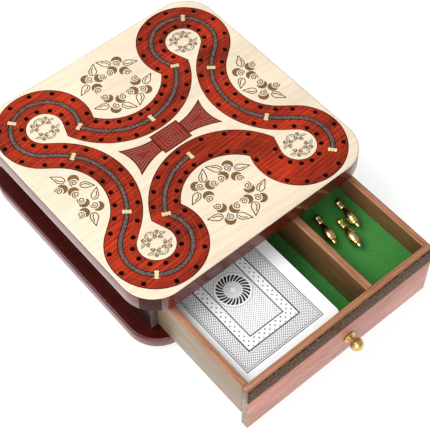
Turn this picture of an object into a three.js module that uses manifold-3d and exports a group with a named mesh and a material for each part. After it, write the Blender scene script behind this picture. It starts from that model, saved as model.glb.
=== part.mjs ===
// A square two-track cribbage board on a low case, with a drawer for cards and pegs.
// Millimetres, +Z up. The origin is the centre of the base board's underside, and the
// drawer opens towards -Y. It stands part open here, as it is when a game begins.

import * as THREE from 'three';
import { mergeVertices } from 'three/addons/utils/BufferGeometryUtils.js';
import Module from 'manifold-3d';

const wasm = await Module();
wasm.setup();

// Case
const BOARD = 152;
const CORNER_RADIUS = 19.3;
const BASE_THICKNESS = 8;
const CAVITY_HEIGHT = 29.6;
const TOP_THICKNESS = 12;
const WALL_THICKNESS = 4.3;
const WALL_SETBACK = 8.4;
const WALL_FRONT_SETBACK = 11.1;
const FOOT_RADIUS = 5;
const FOOT_HEIGHT = 4;
const FOOT_INSET = 16;

// Veneered playing face
const FACE_THICKNESS = 1.2;
const FACE_RIM = 0.6;
const FACE_BED = 0.1;
const INLAY_GAP = 0.3;
const HOLE_RADIUS = 1.25;
const HOLE_DEPTH = 8;
const HOLE_SIDES = 6;
const HOLE_ROW_OFFSET = 5.9;

// Track ribbon: a closed loop of arcs, and the same quarter is mirrored four times
const LOBE_CENTRE = 47.65;
const LOBE_RADIUS = 18.24;
const ARM_RADIUS = 36.5;
const LONG_ARM_CENTRE_Y = 52.8;
const SIDE_ARM_CENTRE_X = 75.7;
const NECK_ANGLE = THREE.MathUtils.degToRad(-157.4);
const RIBBON_HALF_WIDTH = 8;
const STRIPE_HALF_WIDTH = 1.05;
const MARKER_LENGTH = 5;
const MARKER_WIDTH = 2.9;
const MARKER_WAIST = 2;
const MARKER_THICKNESS = 0.6;
const LOBE_MARKER_SHARE = 0.616;
const SIDE_MARKER_TO_MIDDLE = 24.8;
const ARC_STEP = THREE.MathUtils.degToRad(15);

// Peg holes along a quarter, in each row. The quarter where a game starts has its own count
const HOLES_PER_GROUP = 5;
const START_ARM_HOLES = 3;
const START_LOBE_HOLES = 6;
const START_ARM_SPAN = [4.1, 37.2];
const CUSP_CLEARANCE_BEFORE = 3.4;
const CUSP_CLEARANCE_AFTER = 4.8;

// Bow-tie at the middle of the face
const BOW_BLOCK_HALF = [8.8, 6.7];
const BOW_WING_TIP = [27.2, 9.8];
const BOW_WING_ROOT = 4.3;
const BOW_WING_END_DIP = 4.4;

// Drawer
const DRAWER_HALF_WIDTH = 62.8;
const DRAWER_SIDE_THICKNESS = 3.8;
const DRAWER_FRONT_THICKNESS = 4.7;
const DRAWER_FRONT_Y = -134.7;
const DRAWER_REAR_Y = 9.1;
const DRAWER_BOTTOM_THICKNESS = 3.2;
const DRAWER_TOP_Z = 36.7;
const SLIDING_GAP = 0.3;
const BAND_THICKNESS = 0.8;
const FRONT_SEAM_Z = 24.8;
const FRONT_PANEL_DROP = 2.8;
const DIVIDER_X = 19.2;
const DIVIDER_THICKNESS = 4.3;
const FELT_THICKNESS = 1.2;
const PEG_FELT_TOP = 23.5;

// Knob
const KNOB_X = 5.5;
const KNOB_Z = 11.3;
const KNOB_STUD_RADIUS = 1;
const KNOB_STUD_LENGTH = 4;
const KNOB_FLANGE = [[3.7, 0.9], [3.1, 1.4], [1.7, 1.7], [1.6, 2.4]];
const KNOB_BALL_RADIUS = 3.65;
const KNOB_BALL_DISTANCE = 5.9;
const KNOB_SEGMENTS = 14;

// Playing cards
const CARD_WIDTH = 63;
const CARD_LENGTH = 88;
const CARD_CORNER = 3;
const DECK_THICKNESS = 16.3;
const DECK_SIDE_GAP = 0.3;
const DECK_FRONT_GAP = 1.5;

// Pegs
const PEG_BALL_RADIUS = 2.1;
const PEG_BODY_RADIUS = 3;
const PEG_BODY_DISTANCE = 13;
const PEG_NECK = [
  [2.05, 2.3], [2.05, 3], [1.6, 3.3], [1.95, 3.6], [1.95, 4.2], [1.5, 4.7], [1.75, 6], [2.6, 8.8],
  [2.95, 10.9],
];
const PEG_TAIL = [[2.75, 15], [1.95, 16.4], [1.15, 16.9], [1.1, 18.4], [0.8, 18.9], [0, 18.9]];
const PEG_SEGMENTS = 10;
const PEG_REST_GAP = 0.3;
const PEGS = [
  { name: 'peg_left', ball: [35.1, -77.9], heading: 12.4 },
  { name: 'peg_middle', ball: [42.7, -87.4], heading: 9.2 },
  { name: 'peg_right', ball: [50.5, -77.9], heading: 8.4 },
];

const half = BOARD / 2;
const caseTop = BASE_THICKNESS + CAVITY_HEIGHT;
const faceTop = caseTop + TOP_THICKNESS;
const faceBottom = faceTop - FACE_THICKNESS;
const wallOuter = half - WALL_SETBACK;
const wallInner = wallOuter - WALL_THICKNESS;
const drawerInner = DRAWER_HALF_WIDTH - DRAWER_SIDE_THICKNESS;
const drawerBottomZ = BASE_THICKNESS + SLIDING_GAP;
const drawerFloorZ = drawerBottomZ + DRAWER_BOTTOM_THICKNESS;
const frontBackY = DRAWER_FRONT_Y + DRAWER_FRONT_THICKNESS;
const drawerBackY = DRAWER_REAR_Y - DRAWER_SIDE_THICKNESS;

function finish(color, roughness, metalness = 0) {
  return new THREE.MeshStandardMaterial({ color, roughness, metalness });
}

const lacqueredWood = finish('#6e1f1c', 0.25);
const maple = finish('#f3e6cc', 0.4);
const padauk = finish('#b5391c', 0.4);
const speckledWood = finish('#6f5b52', 0.5);
const creamInlay = finish('#f2e0b6', 0.45);
const drawerWood = finish('#b67d58', 0.5);
const facingWood = finish('#b8705f', 0.35);
const feltGreen = finish('#2f7a35', 0.95);
const brass = finish('#c9a544', 0.2, 1);
const paper = finish('#f2f2f0', 0.5);
const rubber = finish('#2a2724', 0.85);

const board = new THREE.Group();

function addMesh(name, geometry, material) {
  const mesh = new THREE.Mesh(geometry, material);
  mesh.name = name;
  board.add(mesh);
  return mesh;
}

// A box between two corners
function box(x0, x1, y0, y1, z0, z1) {
  const geometry = new THREE.BoxGeometry(x1 - x0, y1 - y0, z1 - z0);
  geometry.translate((x0 + x1) / 2, (y0 + y1) / 2, (z0 + z1) / 2);
  return geometry;
}

// A flat outline raised from z0 to z1
function plate(shape, z0, z1, curveSegments = 6) {
  const options = { depth: z1 - z0, bevelEnabled: false, curveSegments };
  const geometry = new THREE.ExtrudeGeometry(shape, options);
  geometry.translate(0, 0, z0);
  return geometry;
}

function roundedRectangle(x0, x1, y0, y1, r) {
  const shape = new THREE.Shape();
  shape.absarc(x1 - r, y0 + r, r, -Math.PI / 2, 0);
  shape.absarc(x1 - r, y1 - r, r, 0, Math.PI / 2);
  shape.absarc(x0 + r, y1 - r, r, Math.PI / 2, Math.PI);
  shape.absarc(x0 + r, y0 + r, r, Math.PI, 1.5 * Math.PI);
  return shape;
}

function roundedSquare(size, r) {
  return roundedRectangle(-size, size, -size, size, r);
}

// Boolean cuts and joins
function toSolid(geometry) {
  const bare = geometry.clone();
  bare.deleteAttribute('normal');
  bare.deleteAttribute('uv');
  const welded = mergeVertices(bare, 1e-4);
  const mesh = new wasm.Mesh({
    numProp: 3,
    vertProperties: Float32Array.from(welded.attributes.position.array),
    triVerts: Uint32Array.from(welded.index.array),
  });
  return new wasm.Manifold(mesh);
}

function toGeometry(solid) {
  const mesh = solid.getMesh();
  const geometry = new THREE.BufferGeometry();
  geometry.setAttribute('position', new THREE.BufferAttribute(mesh.vertProperties, 3));
  geometry.setIndex(new THREE.BufferAttribute(mesh.triVerts, 1));
  return geometry;
}

function union(geometries) {
  return geometries.map(toSolid).reduce((sum, next) => sum.add(next));
}

function cut(geometry, tools) {
  const solid = tools.reduce((rest, tool) => rest.subtract(toSolid(tool)), toSolid(geometry));
  return toGeometry(solid);
}

// Points of an arc, both ends included
function arcPoints(centre, radius, from, to) {
  const steps = Math.max(2, Math.ceil(Math.abs(to - from) / ARC_STEP));
  const points = [];
  for (let i = 0; i <= steps; i += 1) {
    const angle = from + ((to - from) * i) / steps;
    const x = centre.x + radius * Math.cos(angle);
    const y = centre.y + radius * Math.sin(angle);
    points.push(new THREE.Vector2(x, y));
  }
  return points;
}

function angleOf(point, centre) {
  return Math.atan2(point.y - centre.y, point.x - centre.x);
}

function onCircle(centre, radius, angle) {
  return new THREE.Vector2(Math.cos(angle), Math.sin(angle)).multiplyScalar(radius).add(centre);
}

// Where two circles cross, the lower of the two points
function circlesCross(c1, r1, c2, r2) {
  const apart = c1.distanceTo(c2);
  const along = (r1 * r1 - r2 * r2 + apart * apart) / (2 * apart);
  const aside = Math.sqrt(r1 * r1 - along * along);
  const axis = c2.clone().sub(c1).normalize();
  const normal = new THREE.Vector2(-axis.y, axis.x);
  const middle = c1.clone().addScaledVector(axis, along);
  const one = middle.clone().addScaledVector(normal, aside);
  const other = middle.clone().addScaledVector(normal, -aside);
  return one.y < other.y ? one : other;
}

const longArm = new THREE.Vector2(0, LONG_ARM_CENTRE_Y);
const lobe = new THREE.Vector2(-LOBE_CENTRE, LOBE_CENTRE);
const sideArm = new THREE.Vector2(-SIDE_ARM_CENTRE_X, 0);

// The angle at which the lobe hands over to the straight link to the side arm
function linkAngle() {
  const apart = lobe.distanceTo(sideArm);
  return angleOf(sideArm, lobe) - Math.acos((LOBE_RADIUS + ARM_RADIUS) / apart);
}

// Back-left quarter of the loop, moved outwards by offset: the half of the long arm, the
// lobe round the medallion, and the half of the side arm, in that order.
function quarterPieces(offset) {
  const armRadius = ARM_RADIUS - offset;
  const lobeRadius = LOBE_RADIUS + offset;
  const isNeck = offset === -RIBBON_HALF_WIDTH;
  const corner = isNeck
    ? onCircle(longArm, armRadius, NECK_ANGLE)
    : circlesCross(longArm, armRadius, lobe, lobeRadius);
  const reach = Math.acos(Math.min(1, lobeRadius / corner.distanceTo(lobe)));
  const lobeStart = angleOf(corner, lobe) + (isNeck ? reach : 0);
  const lobeEnd = linkAngle() + 2 * Math.PI;
  return {
    corner,
    arm: arcPoints(longArm, armRadius, -Math.PI / 2, angleOf(corner, longArm)),
    lobe: arcPoints(lobe, lobeRadius, lobeStart, lobeEnd),
    side: arcPoints(sideArm, armRadius, linkAngle() + Math.PI, 0),
  };
}

function mirrored(points, signX, signY) {
  return points.map((p) => new THREE.Vector2(p.x * signX, p.y * signY));
}

// Drops points that repeat the one before
function withoutRepeats(points) {
  return points.filter((p, i) => i === 0 || p.distanceTo(points[i - 1]) > 1e-3);
}

function quarterPoints(offset) {
  const { arm, lobe: round, side } = quarterPieces(offset);
  return withoutRepeats([...arm, ...round, ...side]);
}

function loopPoints(offset) {
  const quarter = quarterPoints(offset);
  const loop = [
    ...quarter,
    ...mirrored(quarter, 1, -1).reverse(),
    ...mirrored(quarter, -1, -1),
    ...mirrored(quarter, -1, 1).reverse(),
  ];
  const open = withoutRepeats(loop);
  open.pop();
  return open;
}

// Distances along the centre line of a quarter
const centreLine = quarterPieces(0);
const crossAngle = angleOf(centreLine.corner, longArm);
const armLength = ARM_RADIUS * Math.abs(crossAngle + Math.PI / 2);
const lobeStartAngle = angleOf(centreLine.corner, lobe);
const lobeTurn = linkAngle() + 2 * Math.PI - lobeStartAngle;
const lobeLength = LOBE_RADIUS * lobeTurn;
const linkStart = onCircle(lobe, LOBE_RADIUS, linkAngle());
const linkEnd = onCircle(sideArm, ARM_RADIUS, linkAngle() + Math.PI);
const linkLength = linkStart.distanceTo(linkEnd);
const sideTurn = linkAngle() + Math.PI;
const quarterLength = armLength + lobeLength + linkLength + ARM_RADIUS * Math.abs(sideTurn);

// The groups of holes along a quarter, ended by markers: arm, lobe, lobe to side arm
const LOBE_MARKER = armLength + LOBE_MARKER_SHARE * lobeLength;
const SIDE_MARKER = quarterLength - SIDE_MARKER_TO_MIDDLE;

// A place on the back-left quarter, a distance along it and an offset outwards
function place(distance, offset) {
  if (distance <= armLength) {
    const angle = -Math.PI / 2 - distance / ARM_RADIUS;
    return { at: onCircle(longArm, ARM_RADIUS - offset, angle), across: angle };
  }
  const roundLobe = distance - armLength;
  if (roundLobe <= lobeLength) {
    const angle = lobeStartAngle + roundLobe / LOBE_RADIUS;
    return { at: onCircle(lobe, LOBE_RADIUS + offset, angle), across: angle };
  }
  const onLink = roundLobe - lobeLength;
  if (onLink <= linkLength) {
    const base = linkStart.clone().lerp(linkEnd, onLink / linkLength);
    const outwards = onCircle(new THREE.Vector2(), offset, linkAngle());
    return { at: base.add(outwards), across: linkAngle() };
  }
  const angle = sideTurn - (onLink - linkLength) / ARM_RADIUS;
  return { at: onCircle(sideArm, ARM_RADIUS - offset, angle), across: angle };
}

function spread(from, to, count, lead) {
  const step = (to - from) / count;
  return Array.from({ length: count }, (_, i) => from + (i + lead) * step);
}

// Hole distances along a quarter for one row. The outer row keeps clear of the cusp
function rowDistances(outer, starting) {
  const armEnd = outer ? armLength - CUSP_CLEARANCE_BEFORE : armLength;
  const lobeStart = outer ? armLength + CUSP_CLEARANCE_AFTER : armLength;
  const lobeLead = outer ? 0.2 : 0.35;
  const arm = starting
    ? spread(...START_ARM_SPAN, START_ARM_HOLES, 0.5)
    : spread(0, armEnd, HOLES_PER_GROUP, 0.4);
  const lobeCount = starting ? START_LOBE_HOLES : HOLES_PER_GROUP;
  return [
    ...arm,
    ...spread(lobeStart, LOBE_MARKER, lobeCount, lobeLead),
    ...spread(LOBE_MARKER, SIDE_MARKER, HOLES_PER_GROUP, 0.5),
    ...spread(SIDE_MARKER, 2 * quarterLength - SIDE_MARKER, HOLES_PER_GROUP, 0.5).slice(0, 2),
  ];
}

const QUARTERS = [[1, 1], [-1, 1], [1, -1], [-1, -1]];

function holeCentres() {
  const centres = [];
  for (const [signX, signY] of QUARTERS) {
    const starting = signX < 0 && signY < 0;
    const outer = rowDistances(true, starting).map((d) => place(d, HOLE_ROW_OFFSET).at);
    const inner = rowDistances(false, starting).map((d) => place(d, -HOLE_ROW_OFFSET).at);
    centres.push(...mirrored([...outer, ...inner], signX, signY));
  }
  for (const signX of [1, -1]) {
    for (const offset of [HOLE_ROW_OFFSET, -HOLE_ROW_OFFSET]) {
      const { at } = place(quarterLength, offset);
      centres.push(new THREE.Vector2(signX * at.x, 0));
    }
  }
  return centres;
}

function drill(centre, radius, z0, z1) {
  const geometry = new THREE.CylinderGeometry(radius, radius, z1 - z0, HOLE_SIDES);
  geometry.rotateX(Math.PI / 2);
  geometry.translate(centre.x, centre.y, (z0 + z1) / 2);
  return geometry;
}

// Markers: a short bar with a waist, set across the ribbon
function markerShape(grow) {
  const long = MARKER_LENGTH / 2 + grow;
  const wide = MARKER_WIDTH / 2 + grow;
  const waist = MARKER_WAIST / 2 + grow;
  return [
    [-long, -wide * 0.6], [-long * 0.6, -wide], [0, -waist], [long * 0.6, -wide],
    [long, -wide * 0.6], [long, wide * 0.6], [long * 0.6, wide], [0, waist],
    [-long * 0.6, wide], [-long, wide * 0.6],
  ].map(([x, y]) => new THREE.Vector2(x, y));
}

// The plain start stretch has no marker where the arm meets the lobe
function markerPlates(grow, z0, z1) {
  const spots = [];
  for (const [signX, signY] of QUARTERS) {
    const starting = signX < 0 && signY < 0;
    for (const distance of [armLength, LOBE_MARKER, SIDE_MARKER].slice(starting ? 1 : 0)) {
      const { at, across } = place(distance, 0);
      const direction = new THREE.Vector2(Math.cos(across) * signX, Math.sin(across) * signY);
      spots.push({ at: mirrored([at], signX, signY)[0], turn: direction.angle() });
    }
  }
  for (const signY of [1, -1]) {
    const middle = place(0, 0).at;
    spots.push({ at: new THREE.Vector2(0, signY * middle.y), turn: Math.PI / 2 });
  }
  return spots.map(({ at, turn }) => {
    const geometry = plate(new THREE.Shape(markerShape(grow)), z0, z1);
    geometry.rotateZ(turn);
    geometry.translate(at.x, at.y, 0);
    return geometry;
  });
}

// The stripe runs round the loop, except from the front marker to the front-right lobe's
function stripePlate(grow, z0, z1) {
  const outer = STRIPE_HALF_WIDTH + grow;
  const full = union([plate(new THREE.Shape(loopPoints(outer)), z0, z1)])
    .subtract(toSolid(plate(new THREE.Shape(loopPoints(-outer)), z0 - 1, z1 + 1)));
  const stop = lobe.clone().lerp(place(LOBE_MARKER, 0).at, 1.7);
  const clear = SIDE_ARM_CENTRE_X - ARM_RADIUS - 4;
  const startStretch = [
    [0, 0], [clear, 0], [clear, -0.8 * clear], [LOBE_CENTRE, -LOBE_CENTRE],
    [-stop.x, -stop.y], [-stop.x, -half], [0, -half],
  ].map(([x, y]) => new THREE.Vector2(x, y));
  const region = plate(new THREE.Shape(startStretch), z0 - 1, z1 + 1);
  return full.subtract(toSolid(region));
}

function bowPoints(grow) {
  const [tipX, tipY] = BOW_WING_TIP;
  const inner = BOW_BLOCK_HALF[0] + INLAY_GAP - grow;
  const shape = new THREE.Shape();
  shape.moveTo(inner, -BOW_WING_ROOT - grow);
  shape.quadraticCurveTo(tipX * 0.6, -BOW_WING_ROOT - grow, tipX + grow, -tipY - grow);
  shape.quadraticCurveTo(tipX - BOW_WING_END_DIP + grow, 0, tipX + grow, tipY + grow);
  shape.quadraticCurveTo(tipX * 0.6, BOW_WING_ROOT + grow, inner, BOW_WING_ROOT + grow);
  return shape;
}

function bowWing(grow, z0, z1, side) {
  const geometry = plate(bowPoints(grow), z0, z1, 5);
  if (side < 0) {
    geometry.rotateZ(Math.PI);
  }
  return geometry;
}

function bowBlock(grow, z0, z1) {
  const [x, y] = BOW_BLOCK_HALF;
  return box(-x - grow, x + grow, -y - grow, y + grow, z0, z1);
}

// Case: base, three walls, top and feet
function addCase() {
  addMesh('base_board', plate(roundedSquare(half, CORNER_RADIUS), 0, BASE_THICKNESS), lacqueredWood);
  const front = -half + WALL_FRONT_SETBACK;
  const wallZ = [BASE_THICKNESS, caseTop];
  addMesh('wall_left', box(-wallOuter, -wallInner, front, wallOuter, ...wallZ), lacqueredWood);
  addMesh('wall_right', box(wallInner, wallOuter, front, wallOuter, ...wallZ), lacqueredWood);
  addMesh('wall_back', box(-wallInner, wallInner, wallInner, wallOuter, ...wallZ), lacqueredWood);
  const reach = half - FOOT_INSET;
  const feet = { front_left: [-1, -1], front_right: [1, -1], back_left: [-1, 1], back_right: [1, 1] };
  for (const [corner, [signX, signY]] of Object.entries(feet)) {
    const foot = new THREE.CylinderGeometry(FOOT_RADIUS, FOOT_RADIUS * 0.88, FOOT_HEIGHT, 16);
    foot.rotateX(Math.PI / 2);
    foot.translate(signX * reach, signY * reach, -FOOT_HEIGHT / 2);
    addMesh(`foot_${corner}`, foot, rubber);
  }
}

// Top board, recessed for the veneers, with its peg holes
function addTopBoard(centres) {
  const blank = plate(roundedSquare(half, CORNER_RADIUS), caseTop, faceTop);
  const bed = half - FACE_RIM;
  const recess = plate(roundedSquare(bed, CORNER_RADIUS - FACE_RIM), faceBottom - FACE_BED, faceTop + 1);
  const holes = centres.map((c) => drill(c, HOLE_RADIUS, faceTop - HOLE_DEPTH, faceTop));
  addMesh('top_board', cut(blank, [recess, ...holes]), lacqueredWood);
}

// Veneers of the playing face
function addFace(centres) {
  const below = faceBottom - 1;
  const above = faceTop + 1;
  const ribbonOuter = new THREE.Shape(loopPoints(RIBBON_HALF_WIDTH));
  const ribbonInner = new THREE.Shape(loopPoints(-RIBBON_HALF_WIDTH));
  const fieldEdge = half - FACE_RIM - INLAY_GAP;
  const field = plate(roundedSquare(fieldEdge, CORNER_RADIUS - FACE_RIM - INLAY_GAP), faceBottom, faceTop);
  const grownLoop = plate(new THREE.Shape(loopPoints(RIBBON_HALF_WIDTH + INLAY_GAP)), below, above);
  addMesh('maple_border', cut(field, [grownLoop]), maple);

  const medallions = plate(new THREE.Shape(loopPoints(-RIBBON_HALF_WIDTH)), faceBottom, faceTop);
  const bow = [
    bowBlock(INLAY_GAP, below, above),
    bowWing(INLAY_GAP, below, above, 1),
    bowWing(INLAY_GAP, below, above, -1),
  ];
  addMesh('maple_centre', cut(medallions, bow), maple);
  addMesh('bow_block', bowBlock(0, faceBottom, faceTop), padauk);
  addMesh('bow_wing_right', bowWing(0, faceBottom, faceTop, 1), padauk);
  addMesh('bow_wing_left', bowWing(0, faceBottom, faceTop, -1), padauk);

  const centreCut = toSolid(plate(ribbonInner, below, above));
  const markerBottom = faceTop - MARKER_THICKNESS;
  const pockets = union(markerPlates(INLAY_GAP, markerBottom - FACE_BED, above));
  const slots = stripePlate(INLAY_GAP, below, above).add(pockets);
  const drills = union(centres.map((c) => drill(c, HOLE_RADIUS, below, above)));
  const ribbon = toSolid(plate(ribbonOuter, faceBottom, faceTop))
    .subtract(centreCut)
    .subtract(slots)
    .subtract(drills);
  addMesh('track_ribbon', toGeometry(ribbon), padauk);

  const stripe = stripePlate(0, faceBottom, faceTop).subtract(pockets);
  addMesh('track_stripe', toGeometry(stripe), speckledWood);
  markerPlates(0, markerBottom, faceTop).forEach((geometry, i) => {
    addMesh(`track_marker_${String(i + 1).padStart(2, '0')}`, geometry, creamInlay);
  });
}

// Drawer box, its facings and its felt
function addDrawer() {
  const outer = DRAWER_HALF_WIDTH;
  const sideZ = [drawerBottomZ, DRAWER_TOP_Z];
  addMesh('drawer_side_left', box(-outer, -drawerInner, frontBackY, DRAWER_REAR_Y, ...sideZ), drawerWood);
  addMesh('drawer_side_right', box(drawerInner, outer, frontBackY, DRAWER_REAR_Y, ...sideZ), drawerWood);
  addMesh('drawer_back', box(-drawerInner, drawerInner, drawerBackY, DRAWER_REAR_Y, ...sideZ), drawerWood);
  const floorZ = [drawerBottomZ, drawerFloorZ];
  addMesh('drawer_bottom', box(-drawerInner, drawerInner, frontBackY, drawerBackY, ...floorZ), drawerWood);

  const bandY = DRAWER_FRONT_Y + BAND_THICKNESS;
  const railZ = [FRONT_SEAM_Z, DRAWER_TOP_Z];
  addMesh('drawer_front_rail', box(-outer, outer, bandY, frontBackY, ...railZ), drawerWood);
  addMesh('drawer_front_band', box(-outer, outer, DRAWER_FRONT_Y, bandY, ...railZ), speckledWood);
  const panel = box(-outer, outer, DRAWER_FRONT_Y, frontBackY, -FRONT_PANEL_DROP, FRONT_SEAM_Z);
  const bore = new THREE.CylinderGeometry(KNOB_STUD_RADIUS + INLAY_GAP, KNOB_STUD_RADIUS + INLAY_GAP, 20, 12);
  bore.translate(KNOB_X, DRAWER_FRONT_Y, KNOB_Z);
  addMesh('drawer_front_panel', cut(panel, [bore]), facingWood);

  const dividerEnd = DIVIDER_X + DIVIDER_THICKNESS;
  const dividerY = [frontBackY, drawerBackY];
  addMesh('drawer_divider', box(DIVIDER_X, dividerEnd, ...dividerY, drawerFloorZ, DRAWER_TOP_Z), drawerWood);
  const bedTop = PEG_FELT_TOP - FELT_THICKNESS;
  addMesh('peg_bed', box(dividerEnd, drawerInner, ...dividerY, drawerFloorZ, bedTop), drawerWood);
  const cardFelt = box(-drawerInner, DIVIDER_X, ...dividerY, drawerFloorZ, drawerFloorZ + FELT_THICKNESS);
  addMesh('felt_cards', cardFelt, feltGreen);
  const pegFelt = box(dividerEnd, drawerInner, ...dividerY, bedTop, PEG_FELT_TOP);
  addMesh('felt_pegs', pegFelt, feltGreen);
}

// Half outline of a turned piece, as radius and height pairs
function turned(profile, segments) {
  const points = profile.map(([radius, height]) => new THREE.Vector2(radius, height));
  return new THREE.LatheGeometry(points, segments);
}

// Points on a ball's outline between two angles from its axis
function ballProfile(centre, radius, from, to, steps) {
  return Array.from({ length: steps + 1 }, (_, i) => {
    const angle = THREE.MathUtils.degToRad(from + ((to - from) * i) / steps);
    return [Math.max(0, radius * Math.sin(angle)), centre - radius * Math.cos(angle)];
  });
}

// Knob: stud, flange, neck and ball, turned about the drawer's own direction
function addKnob() {
  const profile = [
    [0, -KNOB_STUD_LENGTH], [KNOB_STUD_RADIUS, -KNOB_STUD_LENGTH], [KNOB_STUD_RADIUS, INLAY_GAP],
    [KNOB_FLANGE[0][0], INLAY_GAP],
    ...KNOB_FLANGE,
    ...ballProfile(KNOB_BALL_DISTANCE, KNOB_BALL_RADIUS, 30, 180, 7),
  ];
  profile[profile.length - 1][0] = 0;
  const geometry = turned(profile, KNOB_SEGMENTS);
  const knob = addMesh('knob', geometry, brass);
  knob.rotation.x = Math.PI;
  knob.position.set(KNOB_X, DRAWER_FRONT_Y, KNOB_Z);
}

// Deck of cards, against the left side and near the drawer's front
function addDeck() {
  const x0 = -drawerInner + DECK_SIDE_GAP;
  const y0 = frontBackY + DECK_FRONT_GAP;
  const outline = roundedRectangle(x0, x0 + CARD_WIDTH, y0, y0 + CARD_LENGTH, CARD_CORNER);
  const z0 = drawerFloorZ + FELT_THICKNESS;
  addMesh('card_deck', plate(outline, z0, z0 + DECK_THICKNESS, 4), paper);
}

// Pegs: ball, two rings, a bowling-pin body and a short tapered shank
function addPegs() {
  const profile = [
    ...ballProfile(0, PEG_BALL_RADIUS, 0, 145, 6),
    ...PEG_NECK,
    [PEG_BODY_RADIUS, PEG_BODY_DISTANCE],
    ...PEG_TAIL,
  ];
  for (const { name, ball, heading } of PEGS) {
    const rise = (PEG_BODY_RADIUS - PEG_BALL_RADIUS) / PEG_BODY_DISTANCE;
    const yaw = THREE.MathUtils.degToRad(heading);
    const direction = new THREE.Vector3(-Math.sin(yaw), -Math.cos(yaw), rise).normalize();
    const peg = addMesh(name, turned(profile, PEG_SEGMENTS), brass);
    peg.quaternion.setFromUnitVectors(new THREE.Vector3(0, 1, 0), direction);
    peg.position.set(ball[0], ball[1], PEG_FELT_TOP + PEG_BALL_RADIUS + PEG_REST_GAP);
  }
}

const centres = holeCentres();
addCase();
addTopBoard(centres);
addFace(centres);
addDrawer();
addKnob();
addDeck();
addPegs();

export default board;
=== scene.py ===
"""Two-track cribbage board on a case with a drawer, dressed over its CAD frame."""

import math

import bmesh
import bpy
from mathutils import Matrix, Quaternion, Vector


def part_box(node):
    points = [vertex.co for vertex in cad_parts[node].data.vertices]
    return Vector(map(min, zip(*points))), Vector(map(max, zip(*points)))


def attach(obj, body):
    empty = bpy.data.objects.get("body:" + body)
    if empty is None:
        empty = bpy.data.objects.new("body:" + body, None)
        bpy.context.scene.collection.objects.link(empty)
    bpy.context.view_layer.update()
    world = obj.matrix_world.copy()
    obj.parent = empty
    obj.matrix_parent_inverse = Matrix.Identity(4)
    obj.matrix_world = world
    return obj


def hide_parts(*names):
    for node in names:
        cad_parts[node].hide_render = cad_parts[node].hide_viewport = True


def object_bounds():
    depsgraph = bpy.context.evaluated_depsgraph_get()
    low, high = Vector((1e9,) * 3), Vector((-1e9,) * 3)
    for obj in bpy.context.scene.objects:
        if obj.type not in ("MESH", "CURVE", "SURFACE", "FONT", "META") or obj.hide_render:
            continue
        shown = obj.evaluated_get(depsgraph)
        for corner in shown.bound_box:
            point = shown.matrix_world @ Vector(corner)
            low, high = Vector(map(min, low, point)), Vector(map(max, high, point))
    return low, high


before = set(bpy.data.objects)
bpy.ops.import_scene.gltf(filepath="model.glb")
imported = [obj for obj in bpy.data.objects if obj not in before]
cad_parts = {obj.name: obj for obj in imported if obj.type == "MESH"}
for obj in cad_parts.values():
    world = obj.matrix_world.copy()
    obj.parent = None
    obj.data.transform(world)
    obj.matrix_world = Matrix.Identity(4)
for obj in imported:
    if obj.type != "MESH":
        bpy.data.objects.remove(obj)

bl_info = {
    "name": "Cribbage Board with Drawer",
    "version": (1, 0, 0),
    "blender": (4, 5, 0),
    "location": "View3D > Sidebar > Cribbage",
    "description": "Two-track cribbage board on a case with a drawer for cards and pegs",
    "category": "Object",
}

CAD_BOX = [list(corner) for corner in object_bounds()]
MM = 0.001
SMOOTH_ANGLE = math.radians(24)
WELD = 0.0008

# Playing face, in millimetres, as in the CAD
BOARD = 152.0
HALF = BOARD / 2
CORNER_RADIUS = 19.3
FACE_RIM = 0.6
INLAY_GAP = 0.3
HOLE_RADIUS = 1.25
HOLE_DEPTH = 8.0
HOLE_SIDES = 16
HOLE_ROW_OFFSET = 5.9
LOBE_RADIUS = 18.24
ARM_RADIUS = 36.5
RIBBON_HALF_WIDTH = 8.0
STRIPE_HALF_WIDTH = 1.05
SCORE_OFFSET = 3.9
NECK_ANGLE = math.radians(-157.4)
LONG_ARM = Vector((0, 52.8))
LOBE = Vector((-47.65, 47.65))
SIDE_ARM = Vector((-75.7, 0))
BOW_BLOCK = (8.8, 6.7)
BOW_TIP = (27.2, 9.8)
BOW_ROOT = 4.3
BOW_HOLLOW = 4.4
QUARTERS = ((1, 1), (-1, 1), (1, -1), (-1, -1))


def box_mm(node):
    """A CAD node's lowest and highest corners, in millimetres."""
    low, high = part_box(node)
    return low / MM, high / MM


FACE_TOP = box_mm("maple_border")[1].z
FACE_BOTTOM = box_mm("maple_border")[0].z
CASE_TOP = box_mm("top_board")[0].z
VENEER_TOP = FACE_TOP - 0.03


def linear(red, green, blue):
    """A colour given as it looks, 0 to 255, in the linear values that shaders take."""
    def one(value):
        value /= 255
        return value / 12.92 if value <= 0.04045 else ((value + 0.055) / 1.055) ** 2.4
    return (one(red), one(green), one(blue))


# ---------------------------------------------------------------- settings

def colour_setting(name, description, shade):
    return bpy.props.FloatVectorProperty(
        name=name, description=description, subtype="COLOR", size=3, min=0, max=1, default=linear(*shade))


def length_setting(name, description, default):
    return bpy.props.FloatProperty(
        name=name, description=description, default=default, min=0, subtype="DISTANCE", unit="LENGTH")


class CRIBBAGE_PG_case(bpy.types.PropertyGroup):
    lacquer_light: colour_setting("Lacquer, light", "Light grain of the lacquered case", (116, 28, 20))
    lacquer_dark: colour_setting("Lacquer, dark", "Dark grain of the lacquered case", (60, 14, 12))
    rim_round: length_setting("Rim round", "Rounding of the case boards' rims", 0.0013)


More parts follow.
